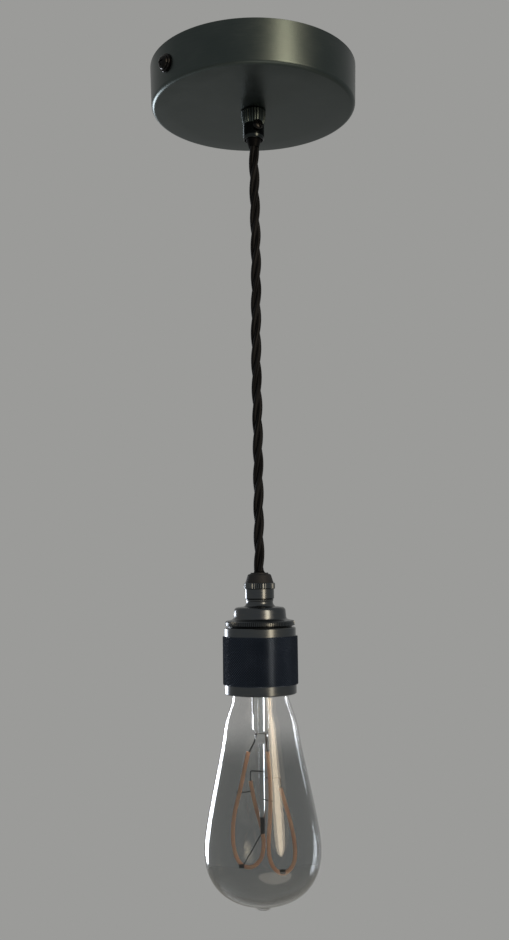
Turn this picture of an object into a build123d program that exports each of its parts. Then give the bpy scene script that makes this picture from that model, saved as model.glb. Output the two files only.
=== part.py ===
from build123d import *

import os
from math import cos, radians, sin, sqrt

# A ceiling pendant light: a round rose, a hanging three-core flex, a knurled
# screw lampholder and a filament lamp.
#
# Frame: millimetres, +Z up. The origin is on the ceiling plane, on the
# pendant's axis, so the whole light hangs at negative heights. The rose's two
# cover screws stand on the X axis.

# ---------------------------------------------------------------- clearances
fit = 0.05  # radial clearance of a shaft or thread in its hole
moving_gap = 0.3  # clearance between pieces that move past each other
loose_gap = 0.25  # radial clearance of a fastener in a plain hole
soft_edge = 0.5  # radius of small rounded edges

# ---------------------------------------------------------------------- rose
rose_diameter = 120.0
rose_height = 25.0
rose_wall = 1.2
rose_draft = 0.6
rose_edge_radius = 2.5

# ------------------------------------------------------------ ceiling bracket
strap_width = 20.0
strap_thickness = 1.5
plate_diameter = 52.0
tab_width = 14.0
tab_drop = 19.0
slot_spacing = 50.8
slot_length = 12.0
slot_width = 4.6
cable_hole_diameter = 10.5

# -------------------------------------------------------------- cover screws
cover_screw_diameter = 4.0
cover_screw_drop = 12.5
cover_screw_reach = 8.0
cover_screw_head_rim = 2.3  # how far the head stands out round the shank
cover_screw_head_diameter = cover_screw_diameter + 2 * cover_screw_head_rim
cover_screw_head_height = 2.6
cover_screw_dome = 0.85  # share of the head's height that is rounded
cover_washer_rim = 1.7  # how far the washer shows round the head
cover_washer_diameter = cover_screw_head_diameter + 2 * cover_washer_rim
cover_washer_thickness = 1.2

# -------------------------------------------------------------- hanging flex
flex_diameter = 6.0
flex_drop = 251.0  # from the rose grip's mouth to the lampholder's lip
rose_bush_wall = 1.8
rose_bush_diameter = flex_diameter + 2 * rose_bush_wall
rose_bush_recess = 1.8
holder_bush_wall = 0.6
holder_bush_diameter = flex_diameter + 2 * holder_bush_wall
holder_bush_recess = 1.5
bush_squeeze = 0.4  # how far the lampholder's bush grips into the flex

# ----------------------------------------------------- terminals in the rose
core_diameter = 2.4
core_pitch_radius = (core_diameter + 2 * fit) / sqrt(2)  # cores a quarter turn apart just clear
terminal_block_length = 16.0
terminal_block_height = 11.0
terminal_block_offset = 9.0
terminal_pitch = 10.0
terminal_block_side = 1.9  # moulding outside each tube
terminal_bore_room = 0.3  # radial room round a core in its terminal
terminal_tube_wall = 1.1
terminal_bore = core_diameter + 2 * terminal_bore_room
terminal_tube_diameter = terminal_bore + 2 * terminal_tube_wall
terminal_block_width = terminal_pitch + terminal_tube_diameter + 2 * terminal_block_side
terminal_screw_diameter = 2.8
terminal_screw_setback = 3.8
block_screw_diameter = 2.5
earth_block_size = 8.0
core_entry_depth = 3.0
core_lead_in = 1.5

# ----------------------------------------------------------- rose cord grip
stem_diameter = 10.0
stem_wall = 1.3
stem_bore = stem_diameter - 2 * stem_wall
stem_rise = 7.0
nut_wall = 2.0  # from a nut's thread to its flats
grip_nut_flats = stem_diameter + 2 * nut_wall
grip_nut_thickness = 3.0
grip_washer_rim = 3.0
grip_washer_diameter = stem_diameter + 2 * grip_washer_rim
grip_washer_thickness = 0.8
grip_ring_wall = 2.2
grip_ring_diameter = stem_diameter + 2 * grip_ring_wall
grip_ring_height = 8.5
grip_ring_notches = 26
grip_notch_diameter = 0.9
grip_body_wall = 1.1
grip_body_diameter = rose_bush_diameter + 2 * (moving_gap + grip_body_wall)
grip_body_height = 9.0
grip_screw_diameter = 3.0
grip_screw_drop = 2.2
grip_screw_length = 2.6
mouth_flare = 0.4  # how far the grip's mouth opens out, so a swung flex clears it
mouth_flare_depth = 1.0
grip_screw_turn = -107.0  # degrees from +X about the axis

# ------------------------------------------------ lampholder grip and collar
cone_lip_wall = 1.4
cone_lip_diameter = holder_bush_diameter + 2 * (moving_gap + cone_lip_wall)
cone_flare = 2.6  # how much wider the cone's foot is than its lip, each side
cone_base_diameter = cone_lip_diameter + 2 * cone_flare
cone_height = 5.7
cone_lip_edge = 0.6
lip_flare = 0.6  # how far the lip opens out, so a tilted holder clears its flex
cone_shoulder = 1.4
cone_shank_diameter = cone_base_diameter - 2 * cone_shoulder
cone_shank_length = 6.0
collar_ring_step = 0.8
collar_ring_diameter = cone_base_diameter + 2 * collar_ring_step
collar_ring_height = 3.4
collar_ring_notches = 30
collar_notch_diameter = 0.8
collar_step = 0.2
collar_diameter = cone_base_diameter + 2 * collar_step
collar_height = 5.5
neck_step = 0.4
neck_diameter = collar_diameter - 2 * neck_step
neck_height = 4.0
neck_groove_depth = 0.7
neck_groove_width = 1.4
nipple_diameter = 10.0
nipple_wall = 1.4
nipple_bore = nipple_diameter - 2 * nipple_wall
nipple_nut_flats = nipple_diameter + 2 * nut_wall
nipple_nut_thickness = 2.5
nipple_end = 0.5  # how far the nipple stands out of its nut

# ---------------------------------------------------------- lamp cap and socket
lamp_cap_diameter = 26.0
lamp_cap_height = 23.5
lamp_thread_depth = 0.8
lamp_thread_pitch = 3.629
lamp_cap_wall = 0.35
shell_minor_diameter = lamp_cap_diameter + 2 * moving_gap
shell_thread_depth = 0.7
shell_wall = 0.4
shell_length = 21.0
insulator_wall = 0.8
insulator_air = 1.75  # room between the insulator and the cap's wall

# ------------------------------------------------------------ lampholder cap
cap_wall = 1.2
cap_thread_wall = 1.2
cap_thread_length = 12.9
shell_outer = shell_minor_diameter / 2 + shell_thread_depth + shell_wall
insulator_inner = shell_outer + fit
insulator_outer = insulator_inner + insulator_wall
cap_thread_diameter = 2 * (insulator_outer + insulator_air + cap_thread_wall)
flange_rim = 1.2  # how far the flange stands out round the thread
flange_diameter = cap_thread_diameter + 2 * flange_rim
flange_thickness = 3.2
flange_edge_radius = 0.8
dome_step = 3.5  # from the thread in to the dome's foot
dome_diameter = cap_thread_diameter - 2 * dome_step
dome_lean = 2.7  # from the dome's foot in to its top
dome_top_diameter = dome_diameter - 2 * dome_lean
dome_height = 7.6
dome_edge_radius = 2.4
shade_gap = 0.9

# ------------------------------------------------------------ knurled sleeve
sleeve_wall = 1.65
band_diameter = cap_thread_diameter + 2 * (fit + sleeve_wall)
knurl_depth = 1.0
knurl_diameter = band_diameter + 2 * knurl_depth
upper_band_height = 4.6
knurl_height = 26.4
lower_band_height = 5.2
sleeve_edge = 0.5
sleeve_turns = 8
sleeve_pitch = 1.0
mouth_ring_wall = 1.0
mouth_ring_bore = cap_thread_diameter - 2 * mouth_ring_wall
mouth_ring_height = 5.0
mouth_ring_recess = 3.0

# --------------------------------------------------------- lampholder insides
wiring_depth = 3.0  # from the flange's underside to the ceramic's top
wire_rise = 4.4  # from the ceramic's top to the cores' bends
ceramic_thickness = 5.0
ceramic_screw_diameter = 2.5
ceramic_screw_pitch_radius = 11.2
ceramic_screw_head_diameter = 4.2
ceramic_screw_head_height = 1.6
boss_diameter = 4.8
boss_wall_depth = 0.4
holder_block_wall = 0.95
holder_block_size = core_diameter + 2 * (fit + holder_block_wall)
holder_block_height = 7.0
holder_block_offset = 4.6
holder_screw_diameter = 1.8
contact_diameter = 8.0
contact_thickness = 1.3

# ---------------------------------------------------------------------- lamp
lamp_length = 143.0
lamp_diameter = 64.0
lamp_turn = -36.5  # degrees from +X to the filaments' own axis
lamp_button_diameter = 9.6
lamp_button_height = 1.6
vitrite_step = 2.0  # from the thread's crest in to the insulator's foot
lamp_vitrite_diameter = lamp_cap_diameter - 2 * vitrite_step
lamp_vitrite_height = 4.6
glass_wall = 0.9
cement_gap = 0.85
glass_neck_diameter = lamp_cap_diameter - 2 * (lamp_thread_depth + lamp_cap_wall + cement_gap)
glass_neck_length = 4.0
glass_shoulder_room = 1.5  # between the glass shoulder and the mouth ring
glass_shoulder_diameter = mouth_ring_bore - 2 * glass_shoulder_room
glass_shoulder_drop = 5.0
glass_waist_diameter = 40.8
glass_waist_drop = 24.0
glass_widest_rise = 29.5
pip_diameter = 14.0
pip_height = 3.0
pip_fullness = 0.8  # how far out the pip's round underside reaches
cement_height = 3.0

# ------------------------------------------------------------- lamp's insides
# Drops below the cap's rim and places across the lamp are drawn for one size
# of glass, and stretch with it.
drawn_depth = 116.5
drawn_radius = 32.0
flare_height = 6.0
stem_tube_diameter = 10.4
stem_tube_drop = 24.0  # from the cap's rim to the pinch
stem_glass_wall = 0.8
exhaust_diameter = 3.8
pinch_width = 7.0
pinch_depth = 3.6
pinch_height = 7.6
rod_diameter = 3.2
rod_length = 39.0
rod_tip_diameter = 4.0
rod_tip_length = 9.0
wire_diameter = 0.8
filament_diameter = 2.2
clip_diameter = 3.2
clip_length = 3.6
board_gap = 1.5  # from the glass neck's line in to the board's edge
board_diameter = glass_neck_diameter - 2 * board_gap
board_thickness = 1.2
board_drop = 7.0
capacitor_diameter = 6.3
capacitor_height = 5.5
capacitor_offset = 4.2
rectifier_length = 6.0
rectifier_width = 4.0
rectifier_height = 2.2

# ------------------------------------------------------------- levels, heights
rose_floor = -rose_height + rose_wall
grip_ring_bottom = -rose_height - grip_ring_height
grip_mouth = grip_ring_bottom - grip_body_height
swing_centre = grip_mouth + rose_bush_recess
lip = grip_mouth - flex_drop
tilt_centre = lip - holder_bush_recess
cone_base = lip - cone_height
collar_ring_bottom = cone_base - collar_ring_height
collar_bottom = collar_ring_bottom - collar_height
neck_bottom = collar_bottom - neck_height
dome_bottom = neck_bottom - dome_height
flange_bottom = dome_bottom - flange_thickness
sleeve_top = flange_bottom - shade_gap
knurl_top = sleeve_top - upper_band_height
knurl_bottom = knurl_top - knurl_height
mouth = knurl_bottom - lower_band_height
ceramic_top = flange_bottom - wiring_depth
ceramic_bottom = ceramic_top - ceramic_thickness
contact_bottom = ceramic_bottom - contact_thickness
lamp_top = contact_bottom - moving_gap
lamp_bottom = lamp_top - lamp_length
lamp_rim = lamp_top - lamp_cap_height
lamp_cap_top = lamp_top - lamp_button_height - lamp_vitrite_height
glass_bottom = lamp_bottom + pip_height
belly_level = glass_bottom + glass_widest_rise
core_level = -strap_thickness - terminal_block_height / 2
wire_level = ceramic_top + wire_rise

# The flex's own length between its two bends, along its centre line.
flex_length = swing_centre - tilt_centre


# ------------------------------------------------------------------- helpers
def turned(outline, mode=Mode.ADD):
    """Turn a closed outline of (radius, height) points about the light's axis."""
    with BuildSketch(Plane.XZ) as section:
        with BuildLine():
            Polyline(*outline, close=True)
        make_face()
    revolve(section.sketch, axis=Axis.Z, mode=mode)


def drilled(radius, low, high):
    """Bore a round hole along the light's axis between two heights."""
    turned([(0, low), (radius, low), (radius, high), (0, high)], Mode.SUBTRACT)


def wire(points, diameter, radii):
    """Sweep a round wire along straight runs joined by tangent arcs."""
    with BuildLine() as route:
        if len(points) == 2:
            Line(*points)
        else:
            FilletPolyline(*points, radius=radii)
    with BuildSketch(Plane(origin=route.line @ 0, z_dir=route.line % 0)) as section:
        Circle(diameter / 2)
    sweep(section.sketch, path=route.line)


def bends(points, share=0.45):
    """Radii of a route's arcs: the share of the shorter run that each turn allows."""
    corners = [Vector(*point) for point in points]
    radii = []
    for before, corner, after in zip(corners, corners[1:], corners[2:]):
        arriving = corner - before
        leaving = after - corner
        half_turn = radians(arriving.get_angle(leaving) / 2)
        shorter = min(arriving.length, leaving.length)
        radii.append(share * shorter * cos(half_turn) / sin(half_turn))
    return radii


def ridges(crest, depth, high, pitch, count):
    """Outline points of round-thread ridges, from the highest one down."""
    points = []
    for turn in range(count):
        level = high - turn * pitch
        points += [(crest - depth, level), (crest, level - pitch / 2)]
    return points + [(crest - depth, high - count * pitch)]


def notches(diameter, count, notch, low, high):
    """Cut a ring of fine upright notches round a turned edge."""
    with BuildSketch(Plane.XY.offset(low)) as teeth:
        with PolarLocations(diameter / 2, count):
            Circle(notch / 2)
    extrude(teeth.sketch, amount=high - low, mode=Mode.SUBTRACT)


def at_angle(radius, angle, height):
    """A point at a radius and an angle from +X, at a height."""
    return (radius * cos(radians(angle)), radius * sin(radians(angle)), height)


def depth(drop):
    """The height of a drop below the lamp cap's rim, stretched to the glass."""
    return lamp_rim - drop * (lamp_rim - glass_bottom) / drawn_depth


def in_lamp(across, back, drop):
    """A place inside the glass: across and back in the lamp's own turned frame."""
    turn = radians(lamp_turn)
    spread = lamp_diameter / 2 / drawn_radius
    return (
        spread * (across * cos(turn) - back * sin(turn)),
        spread * (across * sin(turn) + back * cos(turn)),
        depth(drop),
    )


pieces = {}

# ================================================================ the rose
rose_radius = rose_diameter / 2
rose_low_radius = rose_radius - rose_draft
with BuildPart() as rose_cover:
    turned([(0, 0), (rose_radius, 0), (rose_low_radius, -rose_height), (0, -rose_height)])
    fillet(
        rose_cover.edges().filter_by(GeomType.CIRCLE).group_by(Axis.Z)[0],
        rose_edge_radius,
    )
    turned(
        [
            (0, 0),
            (rose_radius - rose_wall, 0),
            (rose_low_radius - rose_wall, rose_floor + rose_edge_radius - rose_wall),
            (rose_low_radius - rose_edge_radius, rose_floor),
            (0, rose_floor),
        ],
        Mode.SUBTRACT,
    )
    drilled(stem_diameter / 2 + loose_gap, -rose_height, rose_floor)
    with BuildSketch(Plane.YZ.offset(-rose_radius)):
        with Locations((0, -cover_screw_drop)):
            Circle(cover_screw_diameter / 2 + loose_gap)
    extrude(amount=rose_diameter, mode=Mode.SUBTRACT)
pieces["rose_cover"] = rose_cover

# The bracket's tabs stop short of the cover's round wall at their corners.
wall_at_tab = rose_low_radius - rose_wall - rose_edge_radius
tab_face = sqrt(wall_at_tab**2 - (tab_width / 2) ** 2)
with BuildPart() as ceiling_bracket:
    with BuildSketch(Plane.XY.offset(-strap_thickness)):
        Rectangle(2 * tab_face, strap_width)
        Circle(plate_diameter / 2)
        Circle(cable_hole_diameter / 2, mode=Mode.SUBTRACT)
        with Locations((-slot_spacing / 2, 0), (slot_spacing / 2, 0)):
            SlotOverall(slot_length, slot_width, mode=Mode.SUBTRACT)
    extrude(amount=strap_thickness)
    with BuildSketch(Plane.XY.offset(-tab_drop)):
        for side in (-1, 1):
            with Locations((side * (tab_face - strap_thickness / 2), 0)):
                Rectangle(strap_thickness, tab_width)
    extrude(amount=tab_drop)
    with BuildSketch(Plane.YZ.offset(-tab_face)):
        with Locations((0, -cover_screw_drop)):
            Circle(cover_screw_diameter / 2 + fit)
    extrude(amount=2 * tab_face, mode=Mode.SUBTRACT)
    with BuildSketch(Plane.XY.offset(-strap_thickness)):
        with Locations((0, terminal_block_offset + terminal_block_length / 2)):
            Circle(block_screw_diameter / 2 + fit)
    extrude(amount=strap_thickness, mode=Mode.SUBTRACT)
pieces["ceiling_bracket"] = ceiling_bracket

with BuildPart() as cover_screw_washers:
    for side in (-1, 1):
        with BuildSketch(Plane(origin=(side * rose_radius, 0, -cover_screw_drop), z_dir=(side, 0, 0))):
            Circle(cover_washer_diameter / 2)
            Circle(cover_screw_diameter / 2 + fit, mode=Mode.SUBTRACT)
        extrude(amount=cover_washer_thickness)
    rims = cover_screw_washers.edges().filter_by(GeomType.CIRCLE)
    fillet(
        rims.filter_by(lambda rim: rim.radius > cover_screw_diameter).sort_by(Axis.X)[0::3],
        cover_washer_thickness / 2,
    )
pieces["cover_screw_washers"] = cover_screw_washers

washer_face = rose_radius + cover_washer_thickness
with BuildPart() as cover_screws:
    for side in (-1, 1):
        with BuildSketch(Plane(origin=(side * washer_face, 0, -cover_screw_drop), z_dir=(side, 0, 0))):
            Circle(cover_screw_head_diameter / 2)
        extrude(amount=cover_screw_head_height)
    fillet(
        cover_screws.edges().filter_by(GeomType.CIRCLE).sort_by(Axis.X)[0::3],
        cover_screw_head_height * cover_screw_dome,
    )
    for side in (-1, 1):
        with BuildSketch(Plane(origin=(side * washer_face, 0, -cover_screw_drop), z_dir=(side, 0, 0))):
            Circle(cover_screw_diameter / 2)
        extrude(amount=-cover_screw_reach)
pieces["cover_screws"] = cover_screws

# ====================================================== terminals in the rose
block_near = terminal_block_offset
block_far = terminal_block_offset + terminal_block_length
block_middle = (block_near + block_far) / 2
block_bottom = -strap_thickness - terminal_block_height
poles = (-terminal_pitch / 2, terminal_pitch / 2)
screw_rows = (block_near + terminal_screw_setback, block_far - terminal_screw_setback)
screw_places = [(pole, row) for pole in poles for row in screw_rows]
core_radius = core_diameter / 2
screw_tip = core_level - core_radius - fit
with BuildPart() as terminal_block:
    with BuildSketch(Plane.XY.offset(block_bottom)):
        with Locations((0, block_middle)):
            Rectangle(terminal_block_width, terminal_block_length)
    extrude(amount=terminal_block_height)
    with BuildSketch(Plane.XZ.offset(-block_near)):
        for pole in poles:
            with Locations((pole, core_level)):
                Circle(terminal_tube_diameter / 2 + fit)
    extrude(amount=-terminal_block_length, mode=Mode.SUBTRACT)
    with BuildSketch(Plane.XY.offset(block_bottom)):
        with Locations(*screw_places):
            Circle(terminal_screw_diameter / 2 + loose_gap)
    extrude(amount=core_level - block_bottom, mode=Mode.SUBTRACT)
    with BuildSketch(Plane.XY.offset(block_bottom)):
        with Locations((0, block_middle)):
            Circle(block_screw_diameter / 2 + fit)
    extrude(amount=terminal_block_height, mode=Mode.SUBTRACT)
pieces["terminal_block"] = terminal_block

with BuildPart() as terminal_block_tubes:
    with BuildSketch(Plane.XZ.offset(-block_near)):
        for pole in poles:
            with Locations((pole, core_level)):
                Circle(terminal_tube_diameter / 2)
                Circle(terminal_bore / 2, mode=Mode.SUBTRACT)
    extrude(amount=-terminal_block_length)
    with BuildSketch(Plane.XY.offset(block_bottom)):
        with Locations(*screw_places):
            Circle(terminal_screw_diameter / 2 + fit)
    extrude(amount=core_level - block_bottom, mode=Mode.SUBTRACT)
pieces["terminal_block_tubes"] = terminal_block_tubes

with BuildPart() as terminal_block_screws:
    with BuildSketch(Plane.XY.offset(block_bottom)):
        with Locations(*screw_places):
            Circle(terminal_screw_diameter / 2)
    extrude(amount=screw_tip - block_bottom)
pieces["terminal_block_screws"] = terminal_block_screws

with BuildPart() as terminal_block_fixing:
    with BuildSketch(Plane.XY.offset(block_bottom)):
        with Locations((0, block_middle)):
            Circle(block_screw_diameter / 2)
    extrude(amount=terminal_block_height + strap_thickness)
    with BuildSketch(Plane.XY.offset(block_bottom)):
        with Locations((0, block_middle)):
            Circle(block_screw_diameter)
    extrude(amount=-block_screw_diameter / 2)
pieces["terminal_block_fixing"] = terminal_block_fixing

earth_middle = -terminal_block_offset - earth_block_size / 2
earth_bottom = core_level - earth_block_size / 2
with BuildPart() as earth_terminal:
    with BuildSketch(Plane.XY.offset(earth_bottom)):
        with Locations((0, earth_middle)):
            Rectangle(earth_block_size, earth_block_size)
    extrude(amount=-strap_thickness - earth_bottom)
    with BuildSketch(Plane.XZ.offset(terminal_block_offset)):
        with Locations((0, core_level)):
            Circle(terminal_bore / 2)
    extrude(amount=earth_block_size, mode=Mode.SUBTRACT)
    with BuildSketch(Plane.XY.offset(earth_bottom)):
        with Locations((0, earth_middle)):
            Circle(terminal_screw_diameter / 2 + fit)
    extrude(amount=earth_block_size / 2, mode=Mode.SUBTRACT)
pieces["earth_terminal"] = earth_terminal

with BuildPart() as earth_terminal_screw:
    with BuildSketch(Plane.XY.offset(earth_bottom)):
        with Locations((0, earth_middle)):
            Circle(terminal_screw_diameter / 2)
    extrude(amount=screw_tip - earth_bottom)
    with BuildSketch(Plane.XY.offset(earth_bottom)):
        with Locations((0, earth_middle)):
            Circle(terminal_screw_diameter)
    extrude(amount=-terminal_screw_diameter / 2)
pieces["earth_terminal_screw"] = earth_terminal_screw

# ============================================================ rose cord grip
stem_radius = stem_diameter / 2
bush_radius = rose_bush_diameter / 2
cavity = bush_radius + moving_gap
stem_top = rose_floor + stem_rise
with BuildPart() as rose_grip_body:
    turned(
        [
            (0, grip_mouth),
            (grip_body_diameter / 2, grip_mouth),
            (grip_body_diameter / 2, grip_ring_bottom),
            (stem_radius, grip_ring_bottom),
            (stem_radius, stem_top),
            (0, stem_top),
        ]
    )
    fillet(rose_grip_body.edges().filter_by(GeomType.CIRCLE).group_by(Axis.Z)[0], soft_edge)
    turned(
        [
            (0, grip_mouth),
            (cavity + mouth_flare, grip_mouth),
            (cavity, grip_mouth + mouth_flare_depth),
            (cavity, swing_centre),
            (stem_bore / 2, swing_centre + cavity),
            (stem_bore / 2, stem_top),
            (0, stem_top),
        ],
        Mode.SUBTRACT,
    )
    with BuildSketch(
        Plane(
            origin=at_angle(grip_body_diameter / 2, grip_screw_turn, grip_ring_bottom - grip_screw_drop),
            z_dir=at_angle(1, grip_screw_turn, 0),
        )
    ):
        Circle(grip_screw_diameter / 2 + fit)
    extrude(amount=-grip_body_diameter / 2, mode=Mode.SUBTRACT)
pieces["rose_grip_body"] = rose_grip_body

with BuildPart() as rose_grip_screw:
    with BuildSketch(
        Plane(
            origin=at_angle(stem_bore / 2 + fit, grip_screw_turn, grip_ring_bottom - grip_screw_drop),
            z_dir=at_angle(1, grip_screw_turn, 0),
        )
    ):
        Circle(grip_screw_diameter / 2)
    extrude(amount=grip_screw_length)
pieces["rose_grip_screw"] = rose_grip_screw

with BuildPart() as rose_grip_ring:
    turned(
        [
            (stem_radius + fit, -rose_height),
            (grip_ring_diameter / 2, -rose_height),
            (grip_ring_diameter / 2, grip_ring_bottom),
            (stem_radius + fit, grip_ring_bottom),
        ]
    )
    notches(grip_ring_diameter, grip_ring_notches, grip_notch_diameter, grip_ring_bottom, -rose_height)
pieces["rose_grip_ring"] = rose_grip_ring

nut_bottom = rose_floor + grip_washer_thickness
with BuildPart() as rose_grip_washer:
    turned(
        [
            (stem_radius + loose_gap, rose_floor),
            (grip_washer_diameter / 2, rose_floor),
            (grip_washer_diameter / 2, nut_bottom),
            (stem_radius + loose_gap, nut_bottom),
        ]
    )
pieces["rose_grip_washer"] = rose_grip_washer

with BuildPart() as rose_grip_nut:
    with BuildSketch(Plane.XY.offset(nut_bottom)):
        RegularPolygon(grip_nut_flats / 2, 6, major_radius=False)
        Circle(stem_radius + fit, mode=Mode.SUBTRACT)
    extrude(amount=grip_nut_thickness)
pieces["rose_grip_nut"] = rose_grip_nut

with BuildPart() as rose_grip_bush:
    with BuildSketch(Plane.XZ):
        with BuildLine():
            CenterArc((0, swing_centre), bush_radius, -90, 180)
            Line((0, swing_centre + bush_radius), (0, swing_centre - bush_radius))
        make_face()
    revolve(axis=Axis.Z)
    drilled(flex_diameter / 2, swing_centre - bush_radius, swing_centre + bush_radius)
pieces["rose_grip_bush"] = rose_grip_bush

# The three cores rise from the cord grip to their terminals.
core_foot = swing_centre + cavity + moving_gap
core_places = {
    "rose_live_core": (30.0, (poles[1], block_near + core_entry_depth, core_level)),
    "rose_neutral_core": (150.0, (poles[0], block_near + core_entry_depth, core_level)),
    "rose_earth_core": (270.0, (0, -terminal_block_offset - core_entry_depth, core_level)),
}
for node, (angle, end) in core_places.items():
    foot = at_angle(core_pitch_radius, angle, core_foot)
    corner = at_angle(core_pitch_radius, angle, core_level)
    run_in = (end[0], block_near - core_lead_in, core_level)
    route = [foot, corner, end] if node == "rose_earth_core" else [foot, corner, run_in, end]
    radii = bends(route)
    print(node, "arc radii", [round(radius, 1) for radius in radii])
    with BuildPart() as core:
        wire(route, core_diameter, radii)
    pieces[node] = core

# ============================================================== hanging flex
flex_top = swing_centre - bush_radius - moving_gap
flex_bottom = tilt_centre + holder_bush_diameter / 2 + moving_gap
with BuildPart() as hanging_flex:
    with BuildSketch(Plane.XY.offset(flex_bottom)):
        Circle(flex_diameter / 2)
    extrude(amount=flex_top - flex_bottom)
pieces["hanging_flex"] = hanging_flex
print("flex between its bends", round(flex_length, 1), "mm, one straight run")

# ========================================================== lampholder's grip
holder_bush_radius = holder_bush_diameter / 2
cone_cavity = holder_bush_radius + moving_gap
shank_bottom = cone_base - cone_shank_length
with BuildPart() as holder_entry_bush:
    with BuildSketch(Plane.XZ):
        with BuildLine():
            CenterArc((0, tilt_centre), holder_bush_radius, -90, 180)
            Line((0, tilt_centre + holder_bush_radius), (0, tilt_centre - holder_bush_radius))
        make_face()
    revolve(axis=Axis.Z)
    drilled(flex_diameter / 2 - bush_squeeze, tilt_centre - holder_bush_radius, tilt_centre + holder_bush_radius)
pieces["holder_entry_bush"] = holder_entry_bush

with BuildPart() as holder_grip_cone:
    turned(
        [
            (0, shank_bottom),
            (cone_shank_diameter / 2, shank_bottom),
            (cone_shank_diameter / 2, cone_base),
            (cone_base_diameter / 2, cone_base),
            (cone_lip_diameter / 2, lip),
            (0, lip),
        ]
    )
    fillet(holder_grip_cone.edges().filter_by(GeomType.CIRCLE).group_by(Axis.Z)[-1], cone_lip_edge)
    turned(
        [
            (0, shank_bottom),
            (nipple_bore / 2, shank_bottom),
            (nipple_bore / 2, tilt_centre - cone_cavity),
            (cone_cavity, tilt_centre),
            (cone_cavity, lip - mouth_flare_depth),
            (cone_cavity + lip_flare, lip),
            (0, lip),
        ],
        Mode.SUBTRACT,
    )
pieces["holder_grip_cone"] = holder_grip_cone

with BuildPart() as holder_grip_collar:
    turned(
        [
            (nipple_diameter / 2 + fit, collar_bottom),
            (collar_diameter / 2, collar_bottom),
            (collar_diameter / 2, collar_ring_bottom),
            (collar_ring_diameter / 2, collar_ring_bottom),
            (collar_ring_diameter / 2, cone_base),
            (cone_shank_diameter / 2 + fit, cone_base),
            (cone_shank_diameter / 2 + fit, shank_bottom),
            (nipple_diameter / 2 + fit, shank_bottom),
        ]
    )
    notches(collar_ring_diameter, collar_ring_notches, collar_notch_diameter, collar_ring_bottom, cone_base)
pieces["holder_grip_collar"] = holder_grip_collar

groove_top = (collar_bottom + neck_bottom + neck_groove_width) / 2
with BuildPart() as holder_neck:
    turned(
        [
            (nipple_diameter / 2 + fit, neck_bottom),
            (neck_diameter / 2, neck_bottom),
            (neck_diameter / 2, groove_top - neck_groove_width),
            (neck_diameter / 2 - neck_groove_depth, groove_top - neck_groove_width),
            (neck_diameter / 2 - neck_groove_depth, groove_top),
            (neck_diameter / 2, groove_top),
            (neck_diameter / 2, collar_bottom),
            (nipple_diameter / 2 + fit, collar_bottom),
        ]
    )
pieces["holder_neck"] = holder_neck

cap_ceiling = neck_bottom - cap_wall
nipple_nut_bottom = cap_ceiling - nipple_nut_thickness
nipple_bottom = nipple_nut_bottom - nipple_end
with BuildPart() as holder_nipple:
    turned(
        [
            (nipple_bore / 2, nipple_bottom),
            (nipple_diameter / 2, nipple_bottom),
            (nipple_diameter / 2, shank_bottom),
            (nipple_bore / 2, shank_bottom),
        ]
    )
pieces["holder_nipple"] = holder_nipple

with BuildPart() as holder_nipple_nut:
    with BuildSketch(Plane.XY.offset(nipple_nut_bottom)):
        RegularPolygon(nipple_nut_flats / 2, 6, major_radius=False)
        Circle(nipple_diameter / 2 + fit, mode=Mode.SUBTRACT)
    extrude(amount=nipple_nut_thickness)
pieces["holder_nipple_nut"] = holder_nipple_nut

# ============================================================ lampholder cap
thread_radius = cap_thread_diameter / 2
thread_bottom = flange_bottom - cap_thread_length
cap_bore = thread_radius - cap_thread_wall
dome_radius = dome_diameter / 2
boss_places = [(0, -ceramic_screw_pitch_radius), (0, ceramic_screw_pitch_radius)]
with BuildPart() as holder_cap:
    turned(
        [
            (0, neck_bottom),
            (dome_top_diameter / 2, neck_bottom),
            (dome_radius, dome_bottom),
            (flange_diameter / 2, dome_bottom),
            (flange_diameter / 2, flange_bottom),
            (thread_radius, flange_bottom),
            (thread_radius, thread_bottom),
            (0, thread_bottom),
        ]
    )
    fillet(holder_cap.edges().filter_by(GeomType.CIRCLE).group_by(Axis.Z)[-1], dome_edge_radius)
    fillet(
        holder_cap.edges().filter_by(GeomType.CIRCLE).filter_by(lambda edge: edge.radius > thread_radius + fit),
        flange_edge_radius,
    )
    turned(
        [
            (0, cap_ceiling),
            (dome_top_diameter / 2 - cap_wall, cap_ceiling),
            (dome_radius - cap_wall, dome_bottom - cap_wall),
            (cap_bore, dome_bottom - cap_wall - (cap_bore - dome_radius + cap_wall) / 2),
            (cap_bore, thread_bottom),
            (0, thread_bottom),
        ],
        Mode.SUBTRACT,
    )
    with BuildSketch(Plane.XY.offset(ceramic_top)):
        with Locations(*boss_places):
            Circle(boss_diameter / 2)
    extrude(amount=cap_ceiling + boss_wall_depth - ceramic_top)
    with BuildSketch(Plane.XY.offset(ceramic_top)):
        with Locations(*boss_places):
            Circle(ceramic_screw_diameter / 2 + fit)
    extrude(amount=cap_ceiling - ceramic_top, mode=Mode.SUBTRACT)
    drilled(nipple_diameter / 2 + fit, cap_ceiling, neck_bottom)
pieces["holder_cap"] = holder_cap

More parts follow.
